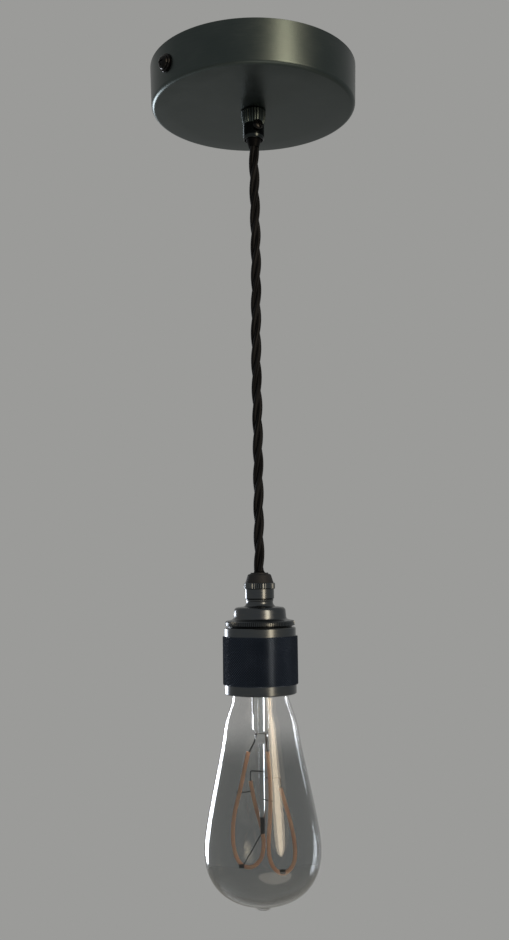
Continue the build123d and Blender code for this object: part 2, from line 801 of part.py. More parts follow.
# ============================================ insulating core and its contacts
shell_radius = shell_minor_diameter / 2
ceramic_radius = cap_bore - fit
with BuildPart() as ceramic_core:
    turned(
        [
            (0, ceramic_bottom),
            (ceramic_radius, ceramic_bottom),
            (ceramic_radius, ceramic_top),
            (0, ceramic_top),
        ]
    )
    with BuildSketch(Plane.XY.offset(ceramic_bottom)):
        with Locations(*boss_places):
            Circle(ceramic_screw_diameter / 2 + fit)
    extrude(amount=ceramic_thickness, mode=Mode.SUBTRACT)
    with BuildSketch(Plane.XY.offset(ceramic_bottom)):
        with Locations(*boss_places):
            Circle(ceramic_screw_head_diameter / 2 + fit)
    extrude(amount=ceramic_screw_head_height, mode=Mode.SUBTRACT)
pieces["ceramic_core"] = ceramic_core

with BuildPart() as ceramic_screws:
    with BuildSketch(Plane.XY.offset(ceramic_bottom)):
        with Locations(*boss_places):
            Circle(ceramic_screw_head_diameter / 2)
    extrude(amount=ceramic_screw_head_height)
    with BuildSketch(Plane.XY.offset(ceramic_bottom)):
        with Locations(*boss_places):
            Circle(ceramic_screw_diameter / 2)
    extrude(amount=cap_ceiling - moving_gap - ceramic_bottom)
pieces["ceramic_screws"] = ceramic_screws

shell_bottom = ceramic_bottom - shell_length
shell_ridges = int(shell_length / lamp_thread_pitch)
shell_inner = [
    (2 * shell_radius + shell_thread_depth - radius, level)
    for radius, level in ridges(
        shell_radius + shell_thread_depth, shell_thread_depth, ceramic_bottom, lamp_thread_pitch, shell_ridges
    )
]
with BuildPart() as screw_shell:
    turned(
        [(shell_outer, ceramic_bottom)]
        + [(shell_outer, shell_bottom), (shell_radius, shell_bottom)]
        + shell_inner[::-1]
    )
pieces["screw_shell"] = screw_shell

with BuildPart() as shell_insulator:
    turned(
        [
            (insulator_inner, shell_bottom),
            (insulator_outer, shell_bottom),
            (insulator_outer, ceramic_bottom),
            (insulator_inner, ceramic_bottom),
        ]
    )
pieces["shell_insulator"] = shell_insulator

with BuildPart() as centre_contact:
    turned(
        [
            (0, contact_bottom),
            (contact_diameter / 4, contact_bottom),
            (contact_diameter / 2, ceramic_bottom - contact_thickness / 2),
            (contact_diameter / 2, ceramic_bottom),
            (0, ceramic_bottom),
        ]
    )
pieces["centre_contact"] = centre_contact

# ============================================= terminals in the lampholder cap
half_block = holder_block_size / 2
block_top = ceramic_top + holder_block_height
block_centre = holder_block_offset + half_block
earth_centre = ceramic_screw_pitch_radius - boss_diameter / 2 - half_block
live_pair = [(-block_centre, 0), (block_centre, 0)]
with BuildPart() as holder_terminals:
    with BuildSketch(Plane.XY.offset(ceramic_top)):
        with Locations(*live_pair):
            Rectangle(holder_block_size, holder_block_size)
    extrude(amount=holder_block_height)
    with BuildSketch(Plane.YZ.offset(-block_centre - half_block)):
        with Locations((0, wire_level)):
            Circle(core_radius + fit)
    extrude(amount=2 * (block_centre + half_block), mode=Mode.SUBTRACT)
    with BuildSketch(Plane.XY.offset(wire_level)):
        with Locations(*live_pair):
            Circle(holder_screw_diameter / 2 + fit)
    extrude(amount=block_top - wire_level, mode=Mode.SUBTRACT)
pieces["holder_terminals"] = holder_terminals

with BuildPart() as holder_earth_terminal:
    with BuildSketch(Plane.XY.offset(ceramic_top)):
        with Locations((0, earth_centre)):
            Rectangle(holder_block_size, holder_block_size)
    extrude(amount=holder_block_height)
    with BuildSketch(Plane.XZ.offset(-earth_centre + half_block)):
        with Locations((0, wire_level)):
            Circle(core_radius + fit)
    extrude(amount=-holder_block_size, mode=Mode.SUBTRACT)
    with BuildSketch(Plane.XY.offset(wire_level)):
        with Locations((0, earth_centre)):
            Circle(holder_screw_diameter / 2 + fit)
    extrude(amount=block_top - wire_level, mode=Mode.SUBTRACT)
pieces["holder_earth_terminal"] = holder_earth_terminal

screw_foot = wire_level + core_radius + fit
with BuildPart() as holder_terminal_screws:
    with BuildSketch(Plane.XY.offset(screw_foot)):
        with Locations(*live_pair, (0, earth_centre)):
            Circle(holder_screw_diameter / 2)
    extrude(amount=block_top - screw_foot)
pieces["holder_terminal_screws"] = holder_terminal_screws

# The three cores drop through the nipple and turn into their terminals.
tail_top = tilt_centre - cone_cavity - moving_gap
tail_ends = {
    "holder_live_core": (0.0, block_centre),
    "holder_neutral_core": (180.0, block_centre),
    "holder_earth_core": (90.0, earth_centre),
}
for node, (angle, reach) in tail_ends.items():
    route = [
        at_angle(core_pitch_radius, angle, tail_top),
        at_angle(core_pitch_radius, angle, wire_level),
        at_angle(reach, angle, wire_level),
    ]
    radii = bends(route)
    print(node, "arc radii", [round(radius, 1) for radius in radii])
    with BuildPart() as core:
        wire(route, core_diameter, radii)
    pieces[node] = core

# ============================================================ knurled sleeve
sleeve_bore = thread_radius + fit
ring_bottom = mouth + mouth_ring_recess
with BuildPart() as knurled_sleeve:
    turned(
        [
            (sleeve_bore, sleeve_top),
            (band_diameter / 2, sleeve_top),
            (band_diameter / 2, knurl_top),
            (knurl_diameter / 2, knurl_top),
            (knurl_diameter / 2, knurl_bottom),
            (band_diameter / 2, knurl_bottom),
            (band_diameter / 2, mouth),
            (sleeve_bore, mouth),
        ]
    )
    rims = knurled_sleeve.edges().filter_by(GeomType.CIRCLE)
    outer_rims = rims.group_by(Axis.Z)[0] + rims.group_by(Axis.Z)[-1]
    outer_rims += rims.filter_by(lambda rim: rim.radius > (knurl_diameter + band_diameter) / 4)
    chamfer([rim for rim in outer_rims if rim.radius > sleeve_bore + fit], sleeve_edge)
pieces["knurled_sleeve"] = knurled_sleeve

with BuildPart() as mouth_ring:
    turned(
        [
            (mouth_ring_bore / 2, ring_bottom),
            (sleeve_bore - fit, ring_bottom),
            (sleeve_bore - fit, ring_bottom + mouth_ring_height),
            (mouth_ring_bore / 2, ring_bottom + mouth_ring_height),
        ]
    )
pieces["mouth_ring"] = mouth_ring
print("sleeve travel", sleeve_turns * sleeve_pitch, "mm in", sleeve_turns, "turns")

# ================================================================== lamp cap
vitrite_top = lamp_top - lamp_button_height
cap_crest = lamp_cap_diameter / 2
cap_root = cap_crest - lamp_thread_depth
cap_inner = cap_root - lamp_cap_wall
thread_top = lamp_cap_top - lamp_thread_depth
cap_ridges = int((thread_top - lamp_rim) / lamp_thread_pitch)
with BuildPart() as lamp_centre_contact:
    turned(
        [
            (0, vitrite_top),
            (lamp_button_diameter / 2, vitrite_top),
            (lamp_button_diameter / 4, lamp_top),
            (0, lamp_top),
        ]
    )
pieces["lamp_centre_contact"] = lamp_centre_contact

with BuildPart() as lamp_cap_insulator:
    turned(
        [
            (0, lamp_cap_top + fit),
            (lamp_vitrite_diameter / 2, lamp_cap_top + fit),
            (lamp_button_diameter / 2, vitrite_top),
            (0, vitrite_top),
        ]
    )
pieces["lamp_cap_insulator"] = lamp_cap_insulator

with BuildPart() as lamp_screw_cap:
    turned(
        [(lamp_vitrite_diameter / 2 - lamp_cap_wall, lamp_cap_top), (lamp_vitrite_diameter / 2, lamp_cap_top)]
        + ridges(cap_crest, lamp_thread_depth, thread_top, lamp_thread_pitch, cap_ridges)
        + [(cap_crest, lamp_rim), (cap_inner, lamp_rim), (cap_inner, thread_top)]
    )
pieces["lamp_screw_cap"] = lamp_screw_cap

# ================================================================ lamp glass
neck_radius = glass_neck_diameter / 2
shoulder_radius = glass_shoulder_diameter / 2
waist_radius = glass_waist_diameter / 2
belly_radius = lamp_diameter / 2
neck_top = lamp_rim + glass_neck_length


def envelope(inset):
    """Face of the bulb's turned outline, drawn inside the glass by an inset."""
    shoulder = (shoulder_radius - inset, lamp_rim - glass_shoulder_drop - inset)
    belly = (belly_radius - inset, belly_level)
    with BuildSketch(Plane.XZ) as section:
        with BuildLine():
            Polyline(
                (0, glass_bottom + inset),
                (0, neck_top),
                (neck_radius - inset, neck_top),
                (neck_radius - inset, lamp_rim - inset),
            )
            Bezier(
                (neck_radius - inset, lamp_rim - inset),
                (shoulder_radius - inset, lamp_rim - inset),
                shoulder,
            )
            Spline(
                shoulder,
                (waist_radius - inset, lamp_rim - glass_waist_drop),
                belly,
                tangents=[(0, -1), (0, -1)],
            )
            EllipticalCenterArc(
                (0, belly_level),
                belly_radius - inset,
                glass_widest_rise - inset,
                start_angle=-90,
                arc_size=90,
            )
        make_face()
    return section.sketch


pip_radius = pip_diameter / 2
with BuildPart() as lamp_glass:
    revolve(envelope(0), axis=Axis.Z)
    with BuildSketch(Plane.XZ):
        with BuildLine():
            Line((0, lamp_bottom), (0, glass_bottom + glass_wall))
            Line((0, glass_bottom + glass_wall), (pip_radius, glass_bottom + glass_wall))
            Bezier(
                (pip_radius, glass_bottom + glass_wall),
                (pip_radius * pip_fullness, lamp_bottom),
                (0, lamp_bottom),
            )
        make_face()
    revolve(axis=Axis.Z)
    revolve(envelope(glass_wall), axis=Axis.Z, mode=Mode.SUBTRACT)
pieces["lamp_glass"] = lamp_glass

with BuildPart() as lamp_cap_cement:
    turned(
        [
            (neck_radius, lamp_rim),
            (cap_inner, lamp_rim),
            (cap_inner, lamp_rim + cement_height),
            (neck_radius, lamp_rim + cement_height),
        ]
    )
pieces["lamp_cap_cement"] = lamp_cap_cement

# ================================================================= lamp stem
flare_radius = neck_radius - glass_wall
tube_radius = stem_tube_diameter / 2
exhaust_radius = exhaust_diameter / 2
stem_end = depth(stem_tube_drop)
pinch_end = depth(stem_tube_drop + pinch_height)
pinch_start = (2 * stem_end + pinch_end) / 3
lamp_across = Vector(cos(radians(lamp_turn)), sin(radians(lamp_turn)), 0)
with BuildPart() as lamp_stem:
    turned(
        [
            (flare_radius - stem_glass_wall, neck_top),
            (flare_radius, neck_top),
            (tube_radius, neck_top - flare_height),
            (tube_radius, stem_end),
            (pinch_width / 2, pinch_start),
            (0, pinch_start),
            (0, stem_end),
            (tube_radius - stem_glass_wall, stem_end),
            (tube_radius - stem_glass_wall, neck_top - flare_height),
        ]
    )
    turned(
        [
            (exhaust_radius - stem_glass_wall, stem_end),
            (exhaust_radius, stem_end),
            (exhaust_radius, neck_top),
            (exhaust_radius - stem_glass_wall, neck_top),
        ]
    )
    with BuildSketch(Plane(origin=(0, 0, pinch_start), x_dir=lamp_across, z_dir=(0, 0, -1))):
        RectangleRounded(pinch_width, pinch_depth, pinch_depth / 3)
    extrude(amount=pinch_start - pinch_end)
pieces["lamp_stem"] = lamp_stem

rod_end = depth(stem_tube_drop + pinch_height + rod_length)
tip_end = depth(stem_tube_drop + pinch_height + rod_length + rod_tip_length)
with BuildPart() as lamp_centre_rod:
    turned([(0, rod_end), (rod_diameter / 2, rod_end), (rod_diameter / 2, pinch_end), (0, pinch_end)])
pieces["lamp_centre_rod"] = lamp_centre_rod

with BuildPart() as lamp_rod_tip:
    turned([(0, tip_end), (rod_tip_diameter / 2, tip_end), (rod_tip_diameter / 2, rod_end), (0, rod_end)])
    fillet(lamp_rod_tip.edges().filter_by(GeomType.CIRCLE).group_by(Axis.Z)[0], rod_tip_diameter / 4)
pieces["lamp_rod_tip"] = lamp_rod_tip

# ================================================== filaments and their wires
# Each point is (across, back, drop below the cap's rim) in the lamp's own frame.
filament_routes = {
    "lamp_filament_left": [
        (-7.3, -1.0, 35.5),
        (-12.0, 0.0, 56.0),
        (-16.6, 1.5, 77.0),
        (-16.0, 3.0, 91.0),
        (-8.0, 4.0, 100.5),
        (1.6, 5.0, 93.0),
        (-1.2, 5.0, 76.0),
        (-6.4, 4.0, 52.0),
    ],
    "lamp_filament_right": [
        (3.3, -1.0, 35.5),
        (4.6, -3.0, 54.0),
        (4.0, -5.0, 75.0),
        (2.0, -5.5, 89.0),
        (5.0, -5.5, 99.0),
        (13.0, -5.5, 101.5),
        (17.8, -3.0, 90.0),
        (15.4, 1.0, 76.0),
        (10.2, 4.0, 56.0),
    ],
}
for node, points in filament_routes.items():
    route = [in_lamp(*point) for point in points]
    radii = bends(route)
    print(node, "arc radii", [round(radius, 1) for radius in radii])
    with BuildPart() as filament:
        wire(route, filament_diameter, radii)
    pieces[node] = filament

lead_wires = [
    [(-2.6, 0.0, 30.0), (-7.3, -1.0, 37.0)],
    [(2.2, 0.0, 28.0), (3.3, -1.0, 37.0)],
]
support_wires = [
    [(0.8, 0.5, 46.5), (-6.4, 4.0, 46.5), (-6.4, 4.0, 54.0)],
    [(-13.4, -0.2, 57.5), (-4.6, 4.9, 57.5)],
    [(0.8, -0.5, 61.0), (5.4, -4.8, 61.0)],
    [(-0.4, 0.4, 79.5), (-10.5, 3.7, 97.0)],
    [(0.8, 0.5, 50.0), (10.2, 4.0, 50.0), (10.2, 4.0, 58.0)],
]
for node, wires in (("lamp_lead_wires", lead_wires), ("lamp_support_wires", support_wires)):
    with BuildPart() as group:
        for points in wires:
            route = [in_lamp(*point) for point in points]
            wire(route, wire_diameter, bends(route))
    pieces[node] = group

clip_places = [(-11.2, 3.6, 96.5), (10.0, -5.5, 100.3)]
with BuildPart() as lamp_filament_clips:
    for place in clip_places:
        start = Vector(*in_lamp(*place)) - lamp_across * (clip_length / 2)
        with BuildSketch(Plane(origin=start, z_dir=lamp_across)):
            Circle(clip_diameter / 2)
        extrude(amount=clip_length)
pieces["lamp_filament_clips"] = lamp_filament_clips

# ====================================================== driver in the lamp cap
board_top = lamp_cap_top - board_drop
with BuildPart() as lamp_driver_board:
    turned(
        [
            (0, board_top - board_thickness),
            (board_diameter / 2, board_top - board_thickness),
            (board_diameter / 2, board_top),
            (0, board_top),
        ]
    )
pieces["lamp_driver_board"] = lamp_driver_board

with BuildPart() as lamp_driver_capacitor:
    with BuildSketch(Plane.XY.offset(board_top)):
        with Locations((capacitor_offset, 0)):
            Circle(capacitor_diameter / 2)
    extrude(amount=capacitor_height)
    fillet(lamp_driver_capacitor.edges().filter_by(GeomType.CIRCLE).group_by(Axis.Z)[-1], soft_edge)
pieces["lamp_driver_capacitor"] = lamp_driver_capacitor

with BuildPart() as lamp_driver_rectifier:
    with BuildSketch(Plane.XY.offset(board_top)):
        with Locations((-capacitor_offset, 0)):
            Rectangle(rectifier_width, rectifier_length)
    extrude(amount=rectifier_height)
pieces["lamp_driver_rectifier"] = lamp_driver_rectifier

# ==================================================================== export
os.makedirs("parts", exist_ok=True)
for node, piece in pieces.items():
    piece.part.label = node
    export_step(piece.part, f"parts/{node}.step")
print(len(pieces), "nodes; lowest point", round(lamp_bottom, 1), "mm")
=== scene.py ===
"""Looks of a ceiling pendant light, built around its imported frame.

A round rose hangs a twisted, braided flex, a knurled screw lampholder and a
smoked filament lamp. Every size here is in metres, in the frame's own axes:
+Z up, the origin on the ceiling plane, on the pendant's axis.
"""

import logging
from collections.abc import Callable, Iterator, Sequence
from contextlib import contextmanager
from dataclasses import dataclass
from enum import Enum
from math import atan2, ceil, cos, hypot, pi, radians, sin, tan, tau

import bmesh
import bpy
from bpy.types import Material, Node, NodeTree, Object
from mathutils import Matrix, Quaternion, Vector
from mathutils.geometry import interpolate_bezier


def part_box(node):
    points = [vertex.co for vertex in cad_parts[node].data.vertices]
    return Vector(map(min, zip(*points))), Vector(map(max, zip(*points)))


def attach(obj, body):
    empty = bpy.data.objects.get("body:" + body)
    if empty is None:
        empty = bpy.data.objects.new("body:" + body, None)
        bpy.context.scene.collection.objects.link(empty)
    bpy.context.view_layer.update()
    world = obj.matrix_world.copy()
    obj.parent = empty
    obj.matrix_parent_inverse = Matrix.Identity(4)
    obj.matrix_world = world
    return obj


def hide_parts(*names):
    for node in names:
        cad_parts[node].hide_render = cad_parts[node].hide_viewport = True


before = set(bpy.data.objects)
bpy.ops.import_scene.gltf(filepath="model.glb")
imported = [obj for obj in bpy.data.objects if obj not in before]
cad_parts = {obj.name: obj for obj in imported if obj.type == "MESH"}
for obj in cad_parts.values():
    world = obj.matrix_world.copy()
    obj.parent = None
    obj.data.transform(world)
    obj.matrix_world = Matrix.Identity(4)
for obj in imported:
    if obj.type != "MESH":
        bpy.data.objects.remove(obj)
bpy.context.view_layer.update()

log = logging.getLogger("pendant")

MM = 0.001
BROAD_MOTTLE = 14 * MM  # size of the slow change in a finish
BULB_GLASS_IOR = 1.47  # soda-lime glass
SAME_POINT = 0.002 * MM  # vertices closer than this are one
PENDANT_MIDDLE = Vector((0, 0, -0.28))  # where the lights point
Point = tuple[float, float, float]
Outline = list[tuple[float, float]]
Inputs = dict[str | int, object]


# ---------------- finishes
def linear(code: str) -> tuple[float, float, float, float]:
    """Turn an sRGB hex colour into the linear colour that a shader takes.

    Args:
        code: Six hex digits, such as "6e5a40".

    Returns:
        Linear red, green and blue, and an alpha of 1.
    """
    channels = [int(code[i : i + 2], 16) / 255 for i in (0, 2, 4)]
    red, green, blue = (c / 12.92 if c <= 0.04045 else ((c + 0.055) / 1.055) ** 2.4 for c in channels)
    return (red, green, blue, 1.0)


def set_inputs(tree: NodeTree, node: Node, inputs: Inputs) -> None:
    """Give a node's sockets their values, or a link where the value is an output socket."""
    for key, value in inputs.items():
        if isinstance(value, bpy.types.NodeSocket):
            tree.links.new(value, node.inputs[key])
        else:
            node.inputs[key].default_value = value


def add_node(tree: NodeTree, kind: str, inputs: Inputs | None = None, **settings: object) -> Node:
    """Add one shader node with its settings, its input values and its links.

    Args:
        tree: The material's node tree.
        kind: The node's type name, without its ShaderNode prefix.
        inputs: Values for sockets by name or number; an output socket is linked.
        **settings: Properties set on the node itself.

    Returns:
        The new node.
    """
    made = tree.nodes.new("ShaderNode" + kind)
    for key, value in settings.items():
        setattr(made, key, value)
    set_inputs(tree, made, inputs or {})
    return made


def new_material(name: str) -> tuple[Material, NodeTree, Node]:
    """Start a material, and hand it over with its node tree and its shader."""
    material = bpy.data.materials.new(name)
    material.use_nodes = True
    return material, material.node_tree, material.node_tree.nodes["Principled BSDF"]


class Grain(Enum):
    """How a finish's fine pattern lies on its piece."""

    SPECKLE = (1.0, 1.0, 1.0)  # the same in all directions: paint, plastic, porcelain
    TURNED = (0.06, 0.06, 1.0)  # fine rings round the light's axis: lathe-turned metal


@dataclass(frozen=True)
class Finish:
    """A surface with a fine grain that mottles its colour, gloss and relief.

    Attributes:
        name: The material's name.
        colour: sRGB hex of most of the surface.
        second: sRGB hex that the mottling leans to.
        roughness: Gloss where the mottling is lowest.
        rougher: Gloss where the mottling is highest.
        metallic: 1 for bare metal, 0 for the rest.
        grain_mm: Size of the finest pattern.
        relief_mm: Depth of that pattern.
        grain: How the pattern lies.
        coat: Strength of a clear gloss layer.
        subsurface: Share of light that scatters inside.
        specular: Strength of the plain surface reflection, 0.5 for an IOR of 1.5.
    """

    name: str
    colour: str
    second: str
    roughness: float
    rougher: float
    metallic: float = 0.0
    grain_mm: float = 0.4
    relief_mm: float = 0.01
    grain: Grain = Grain.SPECKLE
    coat: float = 0.0
    subsurface: float = 0.0
    specular: float = 0.5

    def build(self) -> Material:
        """Make the material, with its grain read from the piece's own place.

        Returns:
            The new material.
        """
        material, tree, shader = new_material(self.name)
        place = add_node(tree, "TexCoord").outputs["Object"]
        stretched = add_node(tree, "Mapping", {"Vector": place, "Scale": self.grain.value}).outputs["Vector"]
        noise = {"Vector": stretched, "Scale": 1 / (self.grain_mm * MM), "Detail": 3.0}
        fine = add_node(tree, "TexNoise", noise).outputs["Fac"]
        noise = {"Vector": place, "Scale": 1 / BROAD_MOTTLE, "Detail": 2.0}
        broad = add_node(tree, "TexNoise", noise).outputs["Fac"]
        blend = add_node(tree, "Math", {0: fine, 1: broad}, operation="MULTIPLY").outputs[0]
        level = add_node(tree, "MapRange", {"Value": blend, "From Min": 0.12, "From Max": 0.42}).outputs[0]
        mixed = add_node(tree, "MixRGB", {0: level, 1: linear(self.colour), 2: linear(self.second)})
        gloss = add_node(tree, "MapRange", {"Value": level, "To Min": self.roughness, "To Max": self.rougher})
        relief = {"Height": fine, "Distance": self.relief_mm * MM, "Strength": 1.0}
        looks = {
            "Metallic": self.metallic,
            "Specular IOR Level": self.specular,
            "Coat Weight": self.coat,
            "Coat Roughness": 0.1,
            "Subsurface Weight": self.subsurface,
            "Subsurface Radius": (2 * MM, MM, MM),
            "Base Color": mixed.outputs[0],
            "Roughness": gloss.outputs[0],
            "Normal": add_node(tree, "Bump", relief).outputs[0],
        }
        set_inputs(tree, shader, looks)
        return material


@dataclass(frozen=True)
class Braid:
    """Woven yarn over a round core, drawn from the core's own UV map.

    Attributes:
        name: The material's name.
        colour: sRGB hex of the yarn where it is raised.
        gap: sRGB hex between the yarns, darker as painted shade in the gaps.
        bundles: Yarn bundles round the core, one way.
    """

    name: str
    colour: str
    gap: str
    bundles: int

    def build(self) -> Material:
        """Make the material: two crossing sets of slanted yarns, with painted shade between them and a fibre
        sheen.
        """
        material, tree, shader = new_material(self.name)
        uv = add_node(tree, "UVMap", uv_map="UVMap").outputs[0]
        waves = []
        for turn in (1, -1):
            slant = (turn * self.bundles, self.bundles, 0)
            lean = add_node(tree, "VectorMath", {0: uv, 1: slant}, operation="DOT_PRODUCT").outputs["Value"]
            angle = add_node(tree, "Math", {0: lean, 1: tau}, operation="MULTIPLY").outputs[0]
            waves.append(add_node(tree, "Math", {0: angle}, operation="SINE").outputs[0])
        cross = add_node(tree, "Math", {0: waves[0], 1: waves[1]}, operation="MAXIMUM").outputs[0]
        level = add_node(tree, "MapRange", {"Value": cross, "From Min": -0.6, "From Max": 1.0}).outputs[0]
        # Darker between the yarns: painted shade in the braid's gaps.
        mixed = add_node(tree, "MixRGB", {0: level, 1: linear(self.gap), 2: linear(self.colour)})
        gloss = add_node(tree, "MapRange", {"Value": level, "To Min": 0.9, "To Max": 0.55})
        relief = {"Height": level, "Distance": 0.05 * MM, "Strength": 1.0}
        looks = {
            "Sheen Weight": 0.03,
            "Sheen Roughness": 0.4,
            "Specular IOR Level": 0.12,
            "Base Color": mixed.outputs[0],
            "Roughness": gloss.outputs[0],
            "Normal": add_node(tree, "Bump", relief).outputs[0],
        }
        set_inputs(tree, shader, looks)
        return material


@dataclass(frozen=True)
class Glass:
    """Clear glass with a tint that can deepen down the piece.

    Attributes:
        name: The material's name.
        top: sRGB hex of the tint at the higher level.
        low: sRGB hex of the tint at the lower level.
        high_level: Height where the top tint ends.
        low_level: Height where the low tint starts.
    """

    name: str
    top: str
    low: str
    high_level: float = 0.0
    low_level: float = -1.0

    def build(self) -> Material:
        """Make the material: a smooth transmitting surface, tinted by its height."""
        material, tree, shader = new_material(self.name)
        place = add_node(tree, "TexCoord").outputs["Object"]
        height = add_node(tree, "SeparateXYZ", {0: place}).outputs["Z"]
        levels = {"Value": height, "From Min": self.low_level, "From Max": self.high_level}
        fall = add_node(tree, "MapRange", levels, interpolation_type="SMOOTHSTEP").outputs[0]
        tint = add_node(tree, "MixRGB", {0: fall, 1: linear(self.low), 2: linear(self.top)}).outputs[0]
        looks = {"Transmission Weight": 1.0, "Roughness": 0.0, "IOR": BULB_GLASS_IOR, "Base Color": tint}
        set_inputs(tree, shader, looks)
        return material


# ---------------- bench
@dataclass(frozen=True)
class Span:
    """How wide a CAD node is, and the heights that it lies between, in millimetres."""

    radius: float
    bottom: float
    top: float

    @classmethod
    def of(cls, node: str) -> "Span":
        """Read a node's radius, bottom and top from the frame."""
        low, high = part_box(node)
        return cls((high[0] - low[0]) / 2 / MM, low[2] / MM, high[2] / MM)


class Bench:
    """Hand work on one piece at a time: add, shape, finish and fit to the frame."""

    @staticmethod
    def clear() -> None:
        """Leave edit mode and let go of everything that is selected."""
        if bpy.context.object and bpy.context.object.mode != "OBJECT":
            bpy.ops.object.mode_set(mode="OBJECT")
        bpy.ops.object.select_all(action="DESELECT")

    @staticmethod
    def pick(piece: Object) -> None:
        """Select one piece alone and make it the active one."""
        Bench.clear()
        piece.select_set(True)
        bpy.context.view_layer.objects.active = piece

    @staticmethod
    @contextmanager
    def editing(piece: Object) -> Iterator[bmesh.types.BMesh]:
        """Open one piece in edit mode, hand over its mesh, and close it again."""
        Bench.pick(piece)
        bpy.ops.object.mode_set(mode="EDIT")
        yield bmesh.from_edit_mesh(piece.data)
        bmesh.update_edit_mesh(piece.data)
        bpy.ops.object.mode_set(mode="OBJECT")

    @staticmethod
    def start(name: str, add: Callable, **settings: object) -> Object:
        """Add one primitive and give it its name.

        Args:
            name: The piece's name.
            add: The operator that adds the primitive.
            **settings: The operator's own settings.

        Returns:
            The new piece, with its place in its mesh.
        """
        Bench.clear()
        add(**settings)
        piece = bpy.context.object
        piece.name = name
        piece.data.name = name
        bpy.ops.object.transform_apply(location=True, rotation=True, scale=True)
        return piece

    @staticmethod
    def turn(name: str, outline: Outline, sides: int = 128) -> Object:
        """Raise a turned piece ring by ring from a circle, along its outline.

        An outline that comes back to its first point makes a closed wall. Any
        other open end is closed flat, and a radius of nought closes to a point.

        Args:
            name: The piece's name.
            outline: Radius and height of each ring in millimetres; the first radius isn't nought.
            sides: Vertices in each ring.

        Returns:
            The turned piece.
        """
        radius, height = outline[0]
        circle = {"vertices": sides, "radius": radius * MM, "location": (0, 0, height * MM)}
        piece = Bench.start(name, bpy.ops.mesh.primitive_circle_add, **circle)
        with Bench.editing(piece):
            bpy.ops.mesh.select_all(action="SELECT")
            for (before, low), (after, high) in zip(outline, outline[1:]):
                bpy.ops.mesh.extrude_edges_move(TRANSFORM_OT_translate={"value": (0, 0, (high - low) * MM)})
                ratio, centre = after / before, (0, 0, high * MM)
                bpy.ops.transform.resize(value=(ratio, ratio, 1), center_override=centre)
            bpy.ops.mesh.select_all(action="SELECT")
            bpy.ops.mesh.remove_doubles(threshold=SAME_POINT)
            bpy.ops.mesh.select_all(action="DESELECT")
            bpy.ops.mesh.select_non_manifold()
            bpy.ops.mesh.fill_holes(sides=0)
            bpy.ops.mesh.select_all(action="SELECT")
            bpy.ops.mesh.normals_make_consistent(inside=False)
        return piece

    @staticmethod
    def scale_columns(
        piece: Object, sides: int, choose: Callable[[int, Vector], bool], factor: float
    ) -> None:
        """Draw chosen vertices of a turned piece towards or away from its axis.

        Args:
            piece: The turned piece.
            sides: Vertices in each of its rings.
            choose: Says yes for a vertex's column number and place in millimetres.
            factor: What each chosen vertex's radius is multiplied by.
        """
        with Bench.editing(piece) as mesh:
            bpy.ops.mesh.select_all(action="DESELECT")
            for vertex in mesh.verts:
                column = round(atan2(vertex.co.y, vertex.co.x) / tau * sides) % sides
                vertex.select = choose(column, vertex.co / MM)
            mesh.select_flush(True)
            bmesh.update_edit_mesh(piece.data)
            bpy.ops.transform.resize(value=(factor, factor, 1), center_override=(0, 0, 0))

    @staticmethod
    def modify(piece: Object, kind: str, **settings: object) -> None:
        """Put one modifier on a piece and apply it.

        Args:
            piece: The piece.
            kind: The modifier's type.
            **settings: The modifier's own settings.
        """
        Bench.pick(piece)
        bpy.ops.object.modifier_add(type=kind)
        modifier = piece.modifiers[-1]
        for key, value in settings.items():
            setattr(modifier, key, value)
        bpy.ops.object.modifier_apply(modifier=modifier.name)

    @staticmethod
    def bevel(piece: Object, width: float, segments: int = 3) -> None:
        """Round every sharp edge of a piece, by a width in millimetres."""
        settings = {"limit_method": "ANGLE", "angle_limit": radians(32)}
        Bench.modify(piece, "BEVEL", width=width * MM, segments=segments, **settings)

    @staticmethod
    def place(piece: Object, location: Point, rotation: Point = (0, 0, 0)) -> None:
        """Move a piece by millimetres and turn it, and put its place in its mesh."""
        Bench.pick(piece)
        piece.location = Vector(location) * MM
        piece.rotation_euler = rotation
        bpy.ops.object.transform_apply(location=True, rotation=True, scale=True)

    @staticmethod
    def block(name: str, size: Point, location: Point, rotation: Point = (0, 0, 0)) -> Object:
        """Add a box, from its size and its middle's place in millimetres, and its turn."""
        piece = Bench.start(name, bpy.ops.mesh.primitive_cube_add, size=MM)
        piece.scale = size
        Bench.place(piece, location, rotation)
        return piece

    @staticmethod
    def cut(piece: Object, size: Point, location: Point, turn: float) -> None:
        """Cut a box-shaped recess into a piece that still lies along Z."""
        cutter = Bench.block("cutter", size, location, (0, 0, turn))
        Bench.modify(piece, "BOOLEAN", operation="DIFFERENCE", solver="EXACT", object=cutter)
        bpy.data.objects.remove(cutter)

    @staticmethod
    def join(name: str, pieces: Sequence[Object]) -> Object:
        """Join pieces into the first one and give it a name."""
        Bench.clear()
        for piece in pieces:
            piece.select_set(True)
        bpy.context.view_layer.objects.active = pieces[0]
        bpy.ops.object.join()
        pieces[0].name = name
        pieces[0].data.name = name
        return pieces[0]

    @staticmethod
    def fit(piece: Object, body: str, slot: str, paint: "Paint", *replaces: str, angle: float = 38.0) -> None:
        """Shade a piece, and give it its finish, its body and the CAD nodes that it stands for.

        Args:
            piece: The finished piece.
            body: The body that it rides on.
            slot: The record's material slot; not used.
            paint: Its finish.
            *replaces: CAD nodes that aren't shown any more.
            angle: Degrees past which an edge stays sharp.
        """
        Bench.pick(piece)
        bpy.ops.object.shade_smooth_by_angle(angle=radians(angle))
        piece.data.materials.clear()
        piece.data.materials.append(paint.made())
        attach(piece, body)
        if replaces:
            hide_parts(*replaces)
        log.info("%s rides on %s in %s", piece.name, body, paint.value.name)


